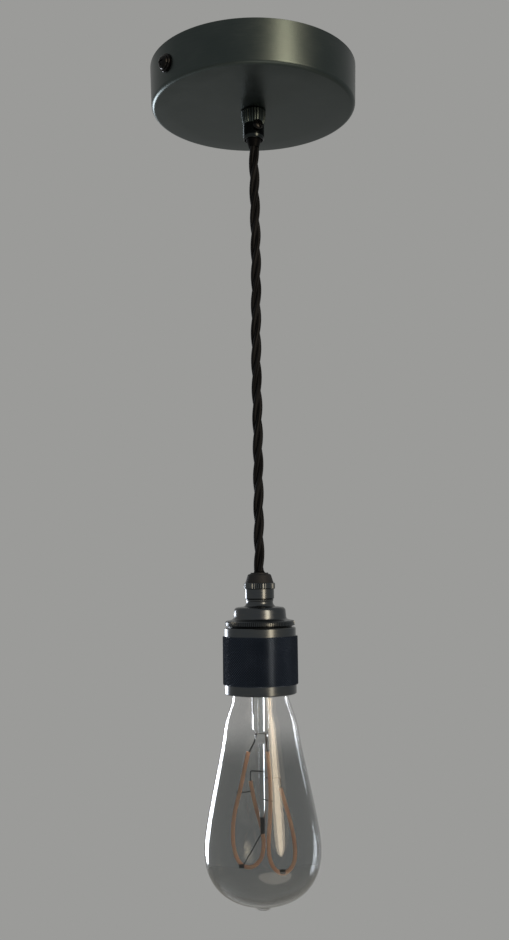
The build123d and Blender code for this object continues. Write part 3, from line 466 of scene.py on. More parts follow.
def arc(radius: float, height: float, size: float, start: float, end: float, steps: int = 6) -> Outline:
    """Outline points of a round stretch.

    Args:
        radius: The arc centre's distance from the axis.
        height: The arc centre's height.
        size: The arc's own radius.
        start: Angle of its first point in degrees, 0 outwards and 90 up.
        end: Angle of its last point in degrees.
        steps: Runs between the points.

    Returns:
        Radius and height of each point.
    """
    angles = [radians(start + (end - start) * step / steps) for step in range(steps + 1)]
    return [(radius + size * cos(angle), height + size * sin(angle)) for angle in angles]


def curve_between(start: Point, lead: Point, arrive: Point, end: Point, points: int) -> Outline:
    """Outline points of a free curve with a handle at each end, without its first point."""
    run = interpolate_bezier(Vector(start), Vector(lead), Vector(arrive), Vector(end), points + 1)
    return [(point.x, point.z) for point in run[1:]]


def smooth_route(name: str, points: Sequence[Point], resolution: int) -> list[Vector]:
    """Read a smooth line through a few given points.

    Args:
        name: Name of the line.
        points: The points that it is drawn towards, in millimetres.
        resolution: Steps for each point.

    Returns:
        Points of the smooth line, close together, in metres.
    """
    line = bpy.data.curves.new(name, "CURVE")
    line.dimensions = "3D"
    line.resolution_u = resolution
    spline = line.splines.new("NURBS")
    spline.points.add(len(points) - 1)
    for control, point in zip(spline.points, points):
        control.co = (*point, 1.0)
    spline.order_u = 3
    spline.use_endpoint_u = True
    holder = bpy.data.objects.new(name, line)
    bpy.context.scene.collection.objects.link(holder)
    bpy.context.view_layer.update()
    mesh = bpy.data.meshes.new_from_object(holder.evaluated_get(bpy.context.evaluated_depsgraph_get()))
    route = [vertex.co * MM for vertex in mesh.vertices]
    bpy.data.meshes.remove(mesh)
    bpy.data.objects.remove(holder)
    bpy.data.curves.remove(line)
    return route


def lay_tube(
    name: str,
    route: Sequence[Vector],
    section: Callable[[int, float], tuple[float, float]],
    sides: int,
    facing: Vector | None = None,
) -> Object:
    """Lay a tube along a route, ring by ring, because a primitive can't follow one.

    Args:
        name: The piece's name.
        route: Points that the tube's middle follows.
        section: Offsets across and up for a ring's number and an angle round it.
        sides: Vertices in each ring.
        facing: The way that the section's up keeps to, or None to carry it along.

    Returns:
        A closed tube with a UV map, round it and along it in turns of its girth.
    """
    up = facing or Vector((1, 0, 0))
    vertices, along = [], [0.0]
    for index, point in enumerate(route):
        ahead = route[min(index + 1, len(route) - 1)] - route[max(index - 1, 0)]
        side = ahead.cross(up).normalized()
        up_here = side.cross(ahead).normalized()
        if facing is None:
            up = up_here
        for step in range(sides):
            across, rise = section(index, tau * step / sides)
            vertices.append(point + side * across + up_here * rise)
        if index:
            along.append(along[-1] + (point - route[index - 1]).length)
    faces = []
    for ring in range(len(route) - 1):
        base = ring * sides
        for step in range(sides):
            after = (step + 1) % sides
            faces.append((base + step, base + after, base + sides + after, base + sides + step))
    faces.append(tuple(reversed(range(sides))))
    faces.append(tuple(len(vertices) - sides + step for step in range(sides)))
    mesh = bpy.data.meshes.new(name)
    mesh.from_pydata(vertices, [], faces)
    girth = sum((vertices[step] - vertices[step - 1]).length for step in range(sides))
    uv = mesh.uv_layers.new(name="UVMap")
    for ring in range(len(route) - 1):
        for step in range(sides):
            corners = ((step, ring), (step + 1, ring), (step + 1, ring + 1), (step, ring + 1))
            start = (ring * sides + step) * 4
            for corner, (turn, level) in enumerate(corners):
                uv.data[start + corner].uv = (turn / sides, along[level] / girth)
    piece = bpy.data.objects.new(name, mesh)
    bpy.context.scene.collection.objects.link(piece)
    with Bench.editing(piece):
        bpy.ops.mesh.select_all(action="SELECT")
        bpy.ops.mesh.normals_make_consistent(inside=False)
    return piece


# ---------------- cast of finishes
class Paint(Enum):
    """Every finish on the light, each by what it is and how it was made."""

    # Satin gunmetal plate on spun steel: dark, faintly green, with a soft sheen.
    ROSE = Finish("satin_gunmetal_plate", "424a49", "484f4e", 0.3, 0.36, 1.0, 0.45, 0.012, Grain.TURNED)
    # Polished near-black copy of the gunmetal, for the grip's body: the darkness is painted shade under the
    # rose, the crisp highlights come from its low roughness.
    BLACK_NICKEL = Finish("polished_gunmetal_painted_shade", "2b2f30", "333737", 0.09, 0.14, 1.0, 0.4, 0.004)
    # Blackened brass, machine polished: warm dark metal with fine turning rings.
    BRONZE = Finish("blackened_turned_brass", "4e5358", "585a5a", 0.19, 0.26, 1.0, grain=Grain.TURNED)
    # Knurl on the sleeve's blackened brass, a little rougher than the bands; its cooler, darker colour is
    # painted shade of its grooves.
    KNURL = Finish("blackened_knurl_painted_shade", "2b323d", "343b47", 0.2, 0.28, 1.0, 0.5, 0.006)
    # Black oxide on machine screws: glossy black.
    BLACK_SCREW = Finish("black_oxide_screw", "040405", "080809", 0.2, 0.3, 0.0, 0.3, 0.004, specular=0.15)
    # Moulded nylon: matte dark grey with a fine spark-eroded grain.
    NYLON = Finish("moulded_black_nylon", "191a1d", "202125", 0.55, 0.65, 0.0, 0.25, 0.012, specular=0.25)
    # Rubbery cable bush: near black and dull.
    BUSH = Finish("moulded_rubber_bush", "020203", "050506", 0.45, 0.55, 0.0, 0.3, 0.008, specular=0.06)
    ZINC = Finish("bright_zinc_plate", "a7aab0", "8f9399", 0.28, 0.42, 1.0, 0.6, 0.006)
    BRASS = Finish("turned_brass", "b9924a", "a8823e", 0.25, 0.36, 1.0, 0.4, 0.005, Grain.TURNED)
    PVC_BROWN = Finish("brown_pvc_core", "5b3620", "66402a", 0.4, 0.5, 0.0, 0.4, 0.008)
    PVC_BLUE = Finish("blue_pvc_core", "1f4f96", "27599f", 0.4, 0.5, 0.0, 0.4, 0.008)
    PVC_GREEN = Finish("green_yellow_pvc_core", "4f8a2c", "b6b02e", 0.4, 0.5, 0.0, 3.0, 0.008)
    WHITE_NYLON = Finish("natural_nylon", "dcdad0", "cfccc0", 0.45, 0.55, 0.0, 0.3, 0.01, subsurface=0.1)
    PORCELAIN = Finish("glazed_porcelain", "e4e0d4", "d8d3c4", 0.12, 0.2, 0.0, 0.5, 0.01, coat=0.5)
    FIBRE = Finish("pressed_fibre", "8c7f68", "7c705b", 0.7, 0.8, 0.0, 0.5, 0.03)
    SPRING = Finish("phosphor_bronze_strip", "b07f4c", "9c6f42", 0.3, 0.42, 1.0, 0.4, 0.004)
    SOLDER = Finish("soft_solder", "a5a6a8", "8d8e90", 0.35, 0.5, 1.0, 0.8, 0.02)
    VITRITE = Finish("fused_black_glass", "08080b", "101014", 0.08, 0.14, 0.0, 0.6, 0.004)
    NICKEL = Finish("rolled_nickel_cap", "b9b5aa", "a8a498", 0.22, 0.34, 1.0, 0.5, 0.006)
    CEMENT = Finish("basing_cement", "8f897b", "7d776a", 0.85, 0.95, 0.0, 0.5, 0.05)
    ROD_TIP = Finish("blackened_rod_tip", "131214", "1d1b1c", 0.45, 0.6, 0.2, 0.3, 0.01)
    WIRE = Finish("dark_support_wire", "2c2c2f", "3a3a3d", 0.3, 0.45, 0.9, 0.3, 0.004)
    # Silicone with phosphor over a flexible strip: chalky copper pink, a little translucent.
    FILAMENT = Finish("phosphor_silicone_strip", "ffd0b2", "f6bb99", 0.5, 0.62, subsurface=0.15)
    BOARD = Finish("white_circuit_board", "d9d8ce", "c9c8bd", 0.35, 0.5)
    # Studio floor: flat pale grey paint with a broad, faint mottle.
    FLOOR = Finish("pale_floor", "cfcfcc", "c9c9c6", 0.85, 0.9, 0.0, 8.0, 0.01)
    COMPONENT = Finish("moulded_component", "141416", "1e1e20", 0.5, 0.6)
    # Braided rayon over each core: black, a little silky, in bundles of about 0.9 mm, with painted shade
    # between the yarns.
    BRAID = Braid("black_rayon_braid", "111113", "030304", 5)
    SMOKED = Glass("smoked_bulb_glass", "f4f4f4", "bdbfbf", -375 * MM, -400 * MM)
    CLEAR = Glass("clear_stem_glass", "f6f8f8", "f6f8f8")

    def made(self) -> Material:
        """Get this finish's material, building it the first time."""
        found = bpy.data.materials.get(self.value.name)
        return found or self.value.build()


PAINTED_NODES: dict[Paint, tuple[str, ...]] = {
    Paint.ZINC: (
        "ceiling_bracket", "terminal_block_screws", "terminal_block_fixing", "earth_terminal_screw",
        "rose_grip_washer", "holder_nipple", "ceramic_screws", "holder_terminal_screws",
    ),
    Paint.WHITE_NYLON: ("terminal_block",),
    Paint.BRASS: (
        "terminal_block_tubes", "earth_terminal", "rose_grip_nut", "holder_nipple_nut", "holder_terminals",
        "holder_earth_terminal",
    ),
    Paint.BUSH: ("rose_grip_bush", "holder_entry_bush"),
    Paint.PVC_BROWN: ("rose_live_core", "holder_live_core"),
    Paint.PVC_BLUE: ("rose_neutral_core", "holder_neutral_core"),
    Paint.PVC_GREEN: ("rose_earth_core", "holder_earth_core"),
    Paint.PORCELAIN: ("ceramic_core",),
    Paint.NICKEL: ("screw_shell",),
    Paint.FIBRE: ("shell_insulator", "mouth_ring"),
    Paint.SPRING: ("centre_contact",),
    Paint.SOLDER: ("lamp_centre_contact",),
    Paint.VITRITE: ("lamp_cap_insulator",),
    Paint.CEMENT: ("lamp_cap_cement",),
    Paint.BOARD: ("lamp_driver_board",),
    Paint.COMPONENT: ("lamp_driver_capacitor", "lamp_driver_rectifier"),
}


def dress_inner_nodes() -> None:
    """Give every CAD node that stays in view its own finish."""
    for paint, nodes in PAINTED_NODES.items():
        for node in nodes:
            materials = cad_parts[node].data.materials
            materials.clear()
            materials.append(paint.made())
        log.info("%s keep their CAD shape in %s", ", ".join(nodes), paint.value.name)


# ---------------- studio
@dataclass
class Studio:
    """Camera, pale floor and soft lights.

    Attributes:
        distance: From the pendant's axis to the camera.
        bearing: Degrees from -Y towards -X that the camera stands at.
        height: The camera's height.
        pitch: Degrees that it looks up.
        roll: Degrees that it leans.
        yaw: Degrees that it looks left of the axis.
        lens: Focal length in millimetres on a frame 36 mm high.
    """

    distance: float = 0.594
    bearing: float = 36.5
    height: float = -0.295
    pitch: float = 5.7
    roll: float = -0.72
    yaw: float = 0.19
    lens: float = 40.44

    def toward(self, right: float, back: float, up: float) -> Vector:
        """A place beside the pendant, from right, back and up as the camera sees them."""
        turn = radians(self.bearing)
        across = Vector((cos(turn), -sin(turn), 0))
        away = Vector((sin(turn), cos(turn), 0))
        return across * right + away * back + Vector((0, 0, up))

    def set_camera(self) -> None:
        """Stand the camera and make it the scene's."""
        data = bpy.data.cameras.new("camera")
        data.sensor_fit = "VERTICAL"
        data.sensor_height = 36.0
        data.lens = self.lens
        data.clip_start = 0.02
        camera = bpy.data.objects.new("camera", data)
        bpy.context.scene.collection.objects.link(camera)
        camera.location = self.toward(0, -self.distance, self.height)
        forward = self.toward(sin(radians(-self.yaw)), 1, tan(radians(self.pitch)))
        camera.rotation_mode = "QUATERNION"
        lean = Quaternion((0, 0, 1), radians(self.roll))
        camera.rotation_quaternion = forward.to_track_quat("-Z", "Y") @ lean
        bpy.context.scene.camera = camera
        log.info("camera stands %.3f m from the axis at %s", self.distance, tuple(camera.location))

    def set_floor(self) -> None:
        """Lay a plain pale round floor well below the lamp."""
        floor = Bench.start(
            "floor",
            bpy.ops.mesh.primitive_circle_add,
            vertices=128,
            radius=3.1,
            fill_type="NGON",
            location=(0, 0, -1.6),
        )
        floor.data.materials.append(Paint.FLOOR.made())

    def add_light(self, name: str, place: Vector, size: Sequence[float], watts: float, colour: str) -> None:
        """Hang one soft oval light, turned to the pendant.

        Args:
            name: The light's name.
            place: Where its middle is.
            size: How wide and how high it is.
            watts: Its power.
            colour: sRGB hex of its light.
        """
        data = bpy.data.lights.new(name, "AREA")
        data.shape = "ELLIPSE"
        data.size, data.size_y = size
        data.energy = watts
        data.color = linear(colour)[:3]
        light = bpy.data.objects.new(name, data)
        bpy.context.scene.collection.objects.link(light)
        light.location = place
        light.rotation_mode = "QUATERNION"
        light.rotation_quaternion = (PENDANT_MIDDLE - place).to_track_quat("-Z", "Y")

    def set_lights(self) -> None:
        """Light the pendant: a grey room, a window behind left and a warm soft light in front right."""
        world = bpy.data.worlds.new("grey_room")
        world.use_nodes = True
        world.node_tree.nodes["Background"].inputs["Color"].default_value = linear("9b9b99")
        bpy.context.scene.world = world
        self.add_light("window", self.toward(-1.09, 1.4, -0.6), (0.66, 0.86), 18.0, "f2f6ff")
        self.add_light("warm_window", self.toward(1.25, -1.8, 0.24), (0.5, 1.86), 11.0, "ffeaca")
        self.add_light("warm_glow", self.toward(1.25, -1.83, 0.24), (1.0, 2.0), 17.0, "ffe9c8")
        self.add_light("warm_wall", self.toward(1.3, -1.9, 0.42), (2.4, 2.1), 6.0, "ffe8cc")
        self.add_light("low_bounce", self.toward(0.5, -1.0, -1.3), (1.6, 0.6), 2.5, "fff4e6")

    def build(self) -> None:
        """Set the whole studio."""
        bpy.context.scene.view_settings.view_transform = "Standard"
        self.set_camera()
        self.set_floor()
        self.set_lights()


# ---------------- flex
@dataclass
class TwistedFlex:
    """Three braided cores twisted together, from the rose's grip to the lampholder's.

    Attributes:
        route: Given points of the flex's middle line, in millimetres.
        diameter: Across the whole flex.
        strand: Diameter of one braided core.
        lay: Length in which a core goes round once.
        start_turn: Degrees that the first core starts at.
        columns: Vertices round a core, two for each raised crossing of its braid.
        relief: How far the braid's crossings stand out.
    """

    route: tuple[Point, ...] = (
        (0.0, 0.0, -40.7),
        (0.0, 0.0, -72.0),
        (0.5, -0.2, -118.0),
        (-0.3, 0.2, -166.0),
        (0.4, 0.2, -214.0),
        (0.0, 0.0, -262.0),
        (0.0, 0.0, -295.0),
    )
    diameter: float = 6.0 * MM
    strand: float = 2.8 * MM
    lay: float = 50.0 * MM
    start_turn: float = 20.0
    columns: int = 20
    relief: float = 0.09 * MM

    def build(self) -> None:
        middle = smooth_route("flex_route", self.route, 110)
        offset = (self.diameter - self.strand) / 2
        strands = []
        for number in range(3):
            travelled = 0.0
            helix = []
            for index, point in enumerate(middle):
                if index:
                    travelled += (point - middle[index - 1]).length
                turn = radians(self.start_turn + 120 * number) - tau * travelled / self.lay
                helix.append(point + Vector((cos(turn), sin(turn), 0)) * offset)
            strands.append(lay_tube(f"core_{number}", helix, self._section, self.columns))
        flex = Bench.join("twisted_flex", strands)
        Bench.fit(flex, "flex", "black_braid", Paint.BRAID, "hanging_flex", angle=60)
        Span.of("rose_grip_body").bottom * MM

    def _section(self, ring: int, angle: float) -> tuple[float, float]:
        """A core's round section, with every other point raised to draw the braid."""
        raised = (ring + round(angle / tau * self.columns)) % 2
        radius = self.strand / 2 + self.relief * (raised - 0.5)
        return radius * cos(angle), radius * sin(angle)


# ---------------- rose
@dataclass
class Rose:
    """The round cover, its two side screws and the cord grip under it.

    Attributes:
        wall: The cover's thickness.
        draft: How much narrower the cover is at the bottom.
        edge: Radius of its lower edge.
        teeth: Grooves round the grip's ring.
    """

    wall: float = 1.2
    draft: float = 0.6
    edge: float = 2.5
    teeth: int = 26

    def build(self) -> None:
        """Make the rose's visible pieces."""
        self._cover()
        self._screws()
        self._grip()

    def _cover(self) -> None:
        """Turn the cover as one closed wall, with a hole for the grip's stem."""
        span = Span.of("rose_cover")
        radius, floor = span.radius, span.bottom
        low = radius - self.draft
        inner = self.edge - self.wall
        hole = Span.of("rose_grip_nut").radius * 0.65
        outline = [(radius - self.wall, 0.0), (radius - 0.3, 0.0), (radius, -0.3)]
        outline += arc(low - self.edge, floor + self.edge, self.edge, 0, -90, 8)
        outline += [(low * 0.75, floor), (low * 0.5, floor), (low * 0.25, floor), (hole, floor)]
        outline += [(hole, floor + self.wall), (low * 0.25, floor + self.wall)]
        outline += [(low * 0.75, floor + self.wall)]
        outline += arc(low - self.edge, floor + self.edge, inner, -90, 0, 5)
        outline += [(radius - self.wall, 0.0)]
        cover = Bench.turn("rose_shell", outline, 192)
        Bench.fit(cover, "rose", "gunmetal", Paint.ROSE, "rose_cover")

    def _screws(self) -> None:
        """Make one domed screw and its washer, and set a pair on each side."""
        screw = Span.of("cover_screws")
        face = Span.of("cover_screw_washers")
        level = (screw.bottom + screw.top) / 2
        head = (screw.top - screw.bottom) / 2 * 0.92
        washer = (face.top - face.bottom) / 2 * 0.84
        reach = face.radius
        thick = reach - Span.of("rose_cover").radius
        for side, word in ((1, "right"), (-1, "left")):
            hole = washer * 0.36
            outline = [(hole, -0.5), (washer, -0.5), (washer, thick), (hole, thick), (hole, -0.5)]
            disc = Bench.turn(f"{word}_washer", outline, 64)
            Bench.bevel(disc, 0.5)
            outline = [(2.0, -7.5), (2.0, 0.0), (head, 0.0), (head, 0.35)]
            outline += [(head * cos(a), 0.35 + 2.2 * sin(a)) for a in (0.3, 0.6, 0.9, 1.2, 1.4)]
            outline += [(0.0, 2.55)]
            dome = Bench.turn(f"{word}_cover_screw", outline, 64)
            for turn in (0, pi / 2):
                Bench.cut(dome, (4.4, 0.9, 2.4), (0, 0, 2.9), turn)
            for piece, at in ((disc, Span.of("rose_cover").radius), (dome, reach)):
                Bench.place(piece, (side * at, 0, level), (0, side * pi / 2, 0))
            Bench.fit(disc, "rose", "black_steel", Paint.BLACK_SCREW, "cover_screw_washers")
            Bench.fit(dome, "rose", "black_steel", Paint.BLACK_SCREW, "cover_screws")

    def _grip(self) -> None:
        """Make the grooved ring, the grip's body with its clamp screw, and the bush."""
        ring = Span.of("rose_grip_ring")
        sides = self.teeth * 4
        radius = 7.2
        edge = 0.5
        outline = [(5.1, ring.top), (radius - edge, ring.top), (radius, ring.top - edge)]
        outline += [(radius - 0.05, ring.top - 2.5), (radius - 0.25, ring.top - 4.5)]
        outline += [(radius - 0.55, ring.top - 6.3), (radius - 0.8, ring.bottom + 0.9)]
        outline += [(radius - 1.1, ring.bottom + 0.2), (radius - 1.3, ring.bottom), (5.1, ring.bottom)]
        outline += [outline[0]]
        grooved = Bench.turn("grip_ring", outline, sides)
        Bench.scale_columns(
            grooved, sides, lambda column, at: column % 4 == 0 and hypot(at.x, at.y) > 5.5, 0.93
        )
        Bench.fit(grooved, "rose", "gunmetal", Paint.ROSE, "rose_grip_ring", angle=25)

        body = Span.of("rose_grip_body")
        cavity = Span.of("rose_grip_bush").radius + 0.1
        outer, mouth = body.radius, body.bottom
        outline = [(3.7, body.top), (5.0, body.top), (5.0, ring.bottom), (outer, ring.bottom)]
        outline += [(outer, mouth + 2.2), (outer - 0.05, mouth + 1.5), (outer - 0.16, mouth + 0.9)]
        outline += [(outer - 0.32, mouth + 0.35), (outer - 0.55, mouth), (cavity + 0.4, mouth)]
        outline += [(cavity, mouth + 1.0), (cavity, mouth + 1.8), (3.7, mouth + 6.7), (3.7, body.top)]
        barrel = Bench.turn("grip_body", outline, 96)
        # The grip's body is near black: painted shade under the rose.
        Bench.fit(barrel, "rose", "gunmetal", Paint.BLACK_NICKEL, "rose_grip_body")

        low, high = (Vector(corner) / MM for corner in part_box("rose_grip_screw"))
        middle = (low + high) / 2
        bearing = atan2(middle.y, middle.x)
        outline = [(1.5, -1.3), (1.5, 0.4), (2.0, 0.4), (2.0, 2.3), (2.9, 2.3), (3.0, 2.6), (2.85, 3.1)]
        outline += [(2.4, 3.5), (1.4, 3.75), (0.0, 3.85)]
        clamp = Bench.turn("clamp_screw", outline, 64)
        Bench.cut(clamp, (7, 0.8, 2), (0, 0, 4.1), 0.5)
        Bench.place(clamp, tuple(middle), (0, pi / 2, bearing))
        Bench.fit(clamp, "rose", "black_steel", Paint.BLACK_SCREW, "rose_grip_screw")

        bush = Span.of("rose_grip_bush")
        centre = (bush.bottom + bush.top) / 2
        drops = [(1.0, 2.0), (4.05, 2.0), (4.1, 2.6), (3.95, 3.0), (3.75, 3.6), (3.45, 4.6), (3.15, 5.8)]
        drops += [(3.0, 6.2), (1.0, 6.2), (1.0, 2.0)]
        sleeve = Bench.turn("flex_bush", [(radius, centre - drop) for radius, drop in drops], 64)
        Bench.fit(sleeve, "flex", "black_nylon", Paint.BUSH)


# ---------------- lampholder
@dataclass
class Lampholder:
    """The grip cone, collar, neck, cap with its milled flange, and the knurled sleeve.

    Attributes:
        collar_teeth: Grooves round the collar's ring.
        flange_teeth: Milled notches round the flange.
        knurl_columns: Diamonds round the sleeve.
        knurl_depth: How far the diamonds stand out.
        bore: Radius of the cores' way through the metal.
        ring_groove: Share of its radius that the ring keeps in a groove.
        flange_groove: Share of its radius that the flange keeps in a notch.
    """

    bore: float = 5.05
    ring_groove: float = 0.965
    flange_groove: float = 0.968
    collar_teeth: int = 40
    flange_teeth: int = 108
    knurl_columns: int = 90
    knurl_depth: float = 0.4

    def build(self) -> None:
        """Make the lampholder's visible pieces."""
        self._cone()
        self._collar()
        self._neck()
        self._cap()
        self._sleeve()

    def _cone(self) -> None:
        """Turn the moulded cone that grips the flex."""
        span = Span.of("holder_grip_cone")
        foot = span.radius
        shank = 6.5
        shoulder = span.top - 5.7
        outline = [(3.6, span.bottom), (shank, span.bottom), (shank, shoulder), (foot, shoulder)]
        outline += arc(5.5, span.top - 1.9, 1.15, 14, 90, 5)
        outline += [(5.1, span.top - 0.65), (5.0, span.top - 0.15), (4.8, span.top), (4.3, span.top)]
        outline += [(3.7, span.top - 1.0), (3.7, span.top - 1.5), (3.6, span.top - 5.2), (3.6, span.bottom)]
        cone = Bench.turn("grip_cone", outline, 96)
        Bench.fit(cone, "holder", "black_nylon", Paint.NYLON, "holder_grip_cone")

    def _collar(self) -> None:
        """Turn the collar and cut the fine grooves round its top ring."""
        span = Span.of("holder_grip_collar")
        sides = self.collar_teeth * 4
        ring, body = 8.7, 8.1
        step = span.top - 3.4
        edge = 0.35
        outline = [(6.55, span.top), (ring - edge, span.top), (ring, span.top - edge)]
        outline += [(ring, step + edge), (ring - edge, step), (body, step - 0.1)]
        outline += [(body, span.bottom + edge), (body - edge, span.bottom), (self.bore, span.bottom)]
        outline += [(self.bore, span.top - 6.0), (6.55, span.top - 6.0), (6.55, span.top)]
        collar = Bench.turn("grip_collar", outline, sides)

        def in_tooth_gap(column: int, at: Vector) -> bool:
            """Say yes for every fourth column of the top ring's outer face."""
            return column % 4 == 0 and at.z > step - 0.05 and hypot(at.x, at.y) > body

        Bench.scale_columns(collar, sides, in_tooth_gap, self.ring_groove)
        Bench.fit(collar, "holder", "blackened_bronze", Paint.BRONZE, "holder_grip_collar", angle=25)

    def _neck(self) -> None:
        """Turn the waisted neck between the collar and the cap."""
        span = Span.of("holder_neck")
        wide = span.radius
        outline = [(self.bore, span.top), (wide - 0.3, span.top), (wide, span.top - 0.3)]
        outline += [(wide, span.top - 0.9), (wide - 0.25, span.top - 1.3), (wide - 0.25, span.top - 2.2)]
        outline += [(wide, span.top - 2.9), (wide + 0.5, span.bottom + 0.4), (wide + 1.0, span.bottom)]
        outline += [(self.bore, span.bottom), (self.bore, span.top)]
        neck = Bench.turn("cap_neck", outline, 128)
        Bench.fit(neck, "holder", "blackened_bronze", Paint.BRONZE, "holder_neck")

    def _cap(self) -> None:
        """Turn the domed cap, mill its flange and ridge its thread."""
        span = Span.of("holder_cap")
        top = span.top
        flange = span.radius
        thread = 18.2
        under = top - 10.8
        sides = self.flange_teeth * 4
        outline = [(self.bore, top), (8.4, top), (12.0, top - 0.45)]
        outline += arc(12.3, top - 2.6, 2.1, 80, 8, 6)
        outline += [(14.6, top - 4.4), (14.7, top - 6.0), (15.0, top - 6.8), (15.7, top - 7.3)]
        outline += [(17.0, top - 7.6), (18.4, top - 7.9), (flange - 0.25, top - 8.3), (flange, top - 8.7)]
        outline += [(flange, under + 0.45), (flange - 0.3, under + 0.1), (18.7, under), (thread, under)]
        turns = 11
        pitch = (under - span.bottom) / turns
        for turn in range(turns):
            level = under - turn * pitch
            outline += [(thread - 0.35, level - pitch * 0.25), (thread, level - pitch * 0.75)]
        outline += [(thread - 0.3, span.bottom), (17.0, span.bottom), (17.0, top - 10.0), (13.4, top - 8.6)]
        outline += [(13.0, top - 3.0), (11.0, top - 1.2), (self.bore, top - 1.2), (self.bore, top)]
        cap = Bench.turn("domed_cap", outline, sides)

        def in_notch(column: int, at: Vector) -> bool:
            """Say yes for every fourth column of the flange's edge."""
            return column % 4 == 0 and hypot(at.x, at.y) > flange - 0.4

        Bench.scale_columns(cap, sides, in_notch, self.flange_groove)
        Bench.fit(cap, "holder", "blackened_bronze", Paint.BRONZE, "holder_cap", angle=25)

    def _sleeve(self) -> None:
        """Turn the sleeve, raise its diamonds, and finish its two plain bands."""
        span = Span.of("knurled_sleeve")
        crest = span.radius
        band, bore = 19.9, 18.25
        knurl_top, knurl_bottom = span.top - 4.6, span.bottom + 5.2
        edge = 0.45
        sides = self.knurl_columns * 6
        rows = round((knurl_top - knurl_bottom) / (tau * crest / sides))
        step = (knurl_top - knurl_bottom) / (rows + 2)
        outline = [(bore, span.top), (band - edge, span.top), (band, span.top - edge), (band, knurl_top)]
        outline += [(crest - 0.3, knurl_top)]
        outline += [(crest, knurl_top - step * (row + 1)) for row in range(rows + 1)]
        outline += [(crest - 0.3, knurl_bottom), (band, knurl_bottom), (band, span.bottom + edge)]
        outline += [(band - edge, span.bottom), (bore + 0.5, span.bottom), (bore, span.bottom + 0.5)]
        outline += [(bore, span.top)]
        sleeve = Bench.turn("diamond_sleeve", outline, sides)

        def depth_step(column: int, at: Vector) -> int:
            """Count steps from the nearest groove: 0 in a groove, 3 on a diamond's middle."""
            row = round((knurl_top - at.z) / step)
            return min(min(way % 6, -way % 6) for way in (column + row, column - row))

        for level, share in ((0, 1.0), (1, 0.6), (2, 0.12)):
            Bench.scale_columns(
                sleeve,
                sides,
                lambda column, at: hypot(at.x, at.y) > crest - 0.01 and depth_step(column, at) == level,
                1 - self.knurl_depth * share / crest,
            )
        Bench.fit(sleeve, "sleeve", "black_knurl", Paint.BRONZE, "knurled_sleeve", angle=20)
        # The knurl takes a darker copy of the bands' metal: painted shade of its grooves.
        sleeve.data.materials.append(Paint.KNURL.made())
        for face in sleeve.data.polygons:
            middle = face.center / MM
            inside = knurl_bottom < middle.z < knurl_top and hypot(middle.x, middle.y) > band
            face.material_index = int(inside)


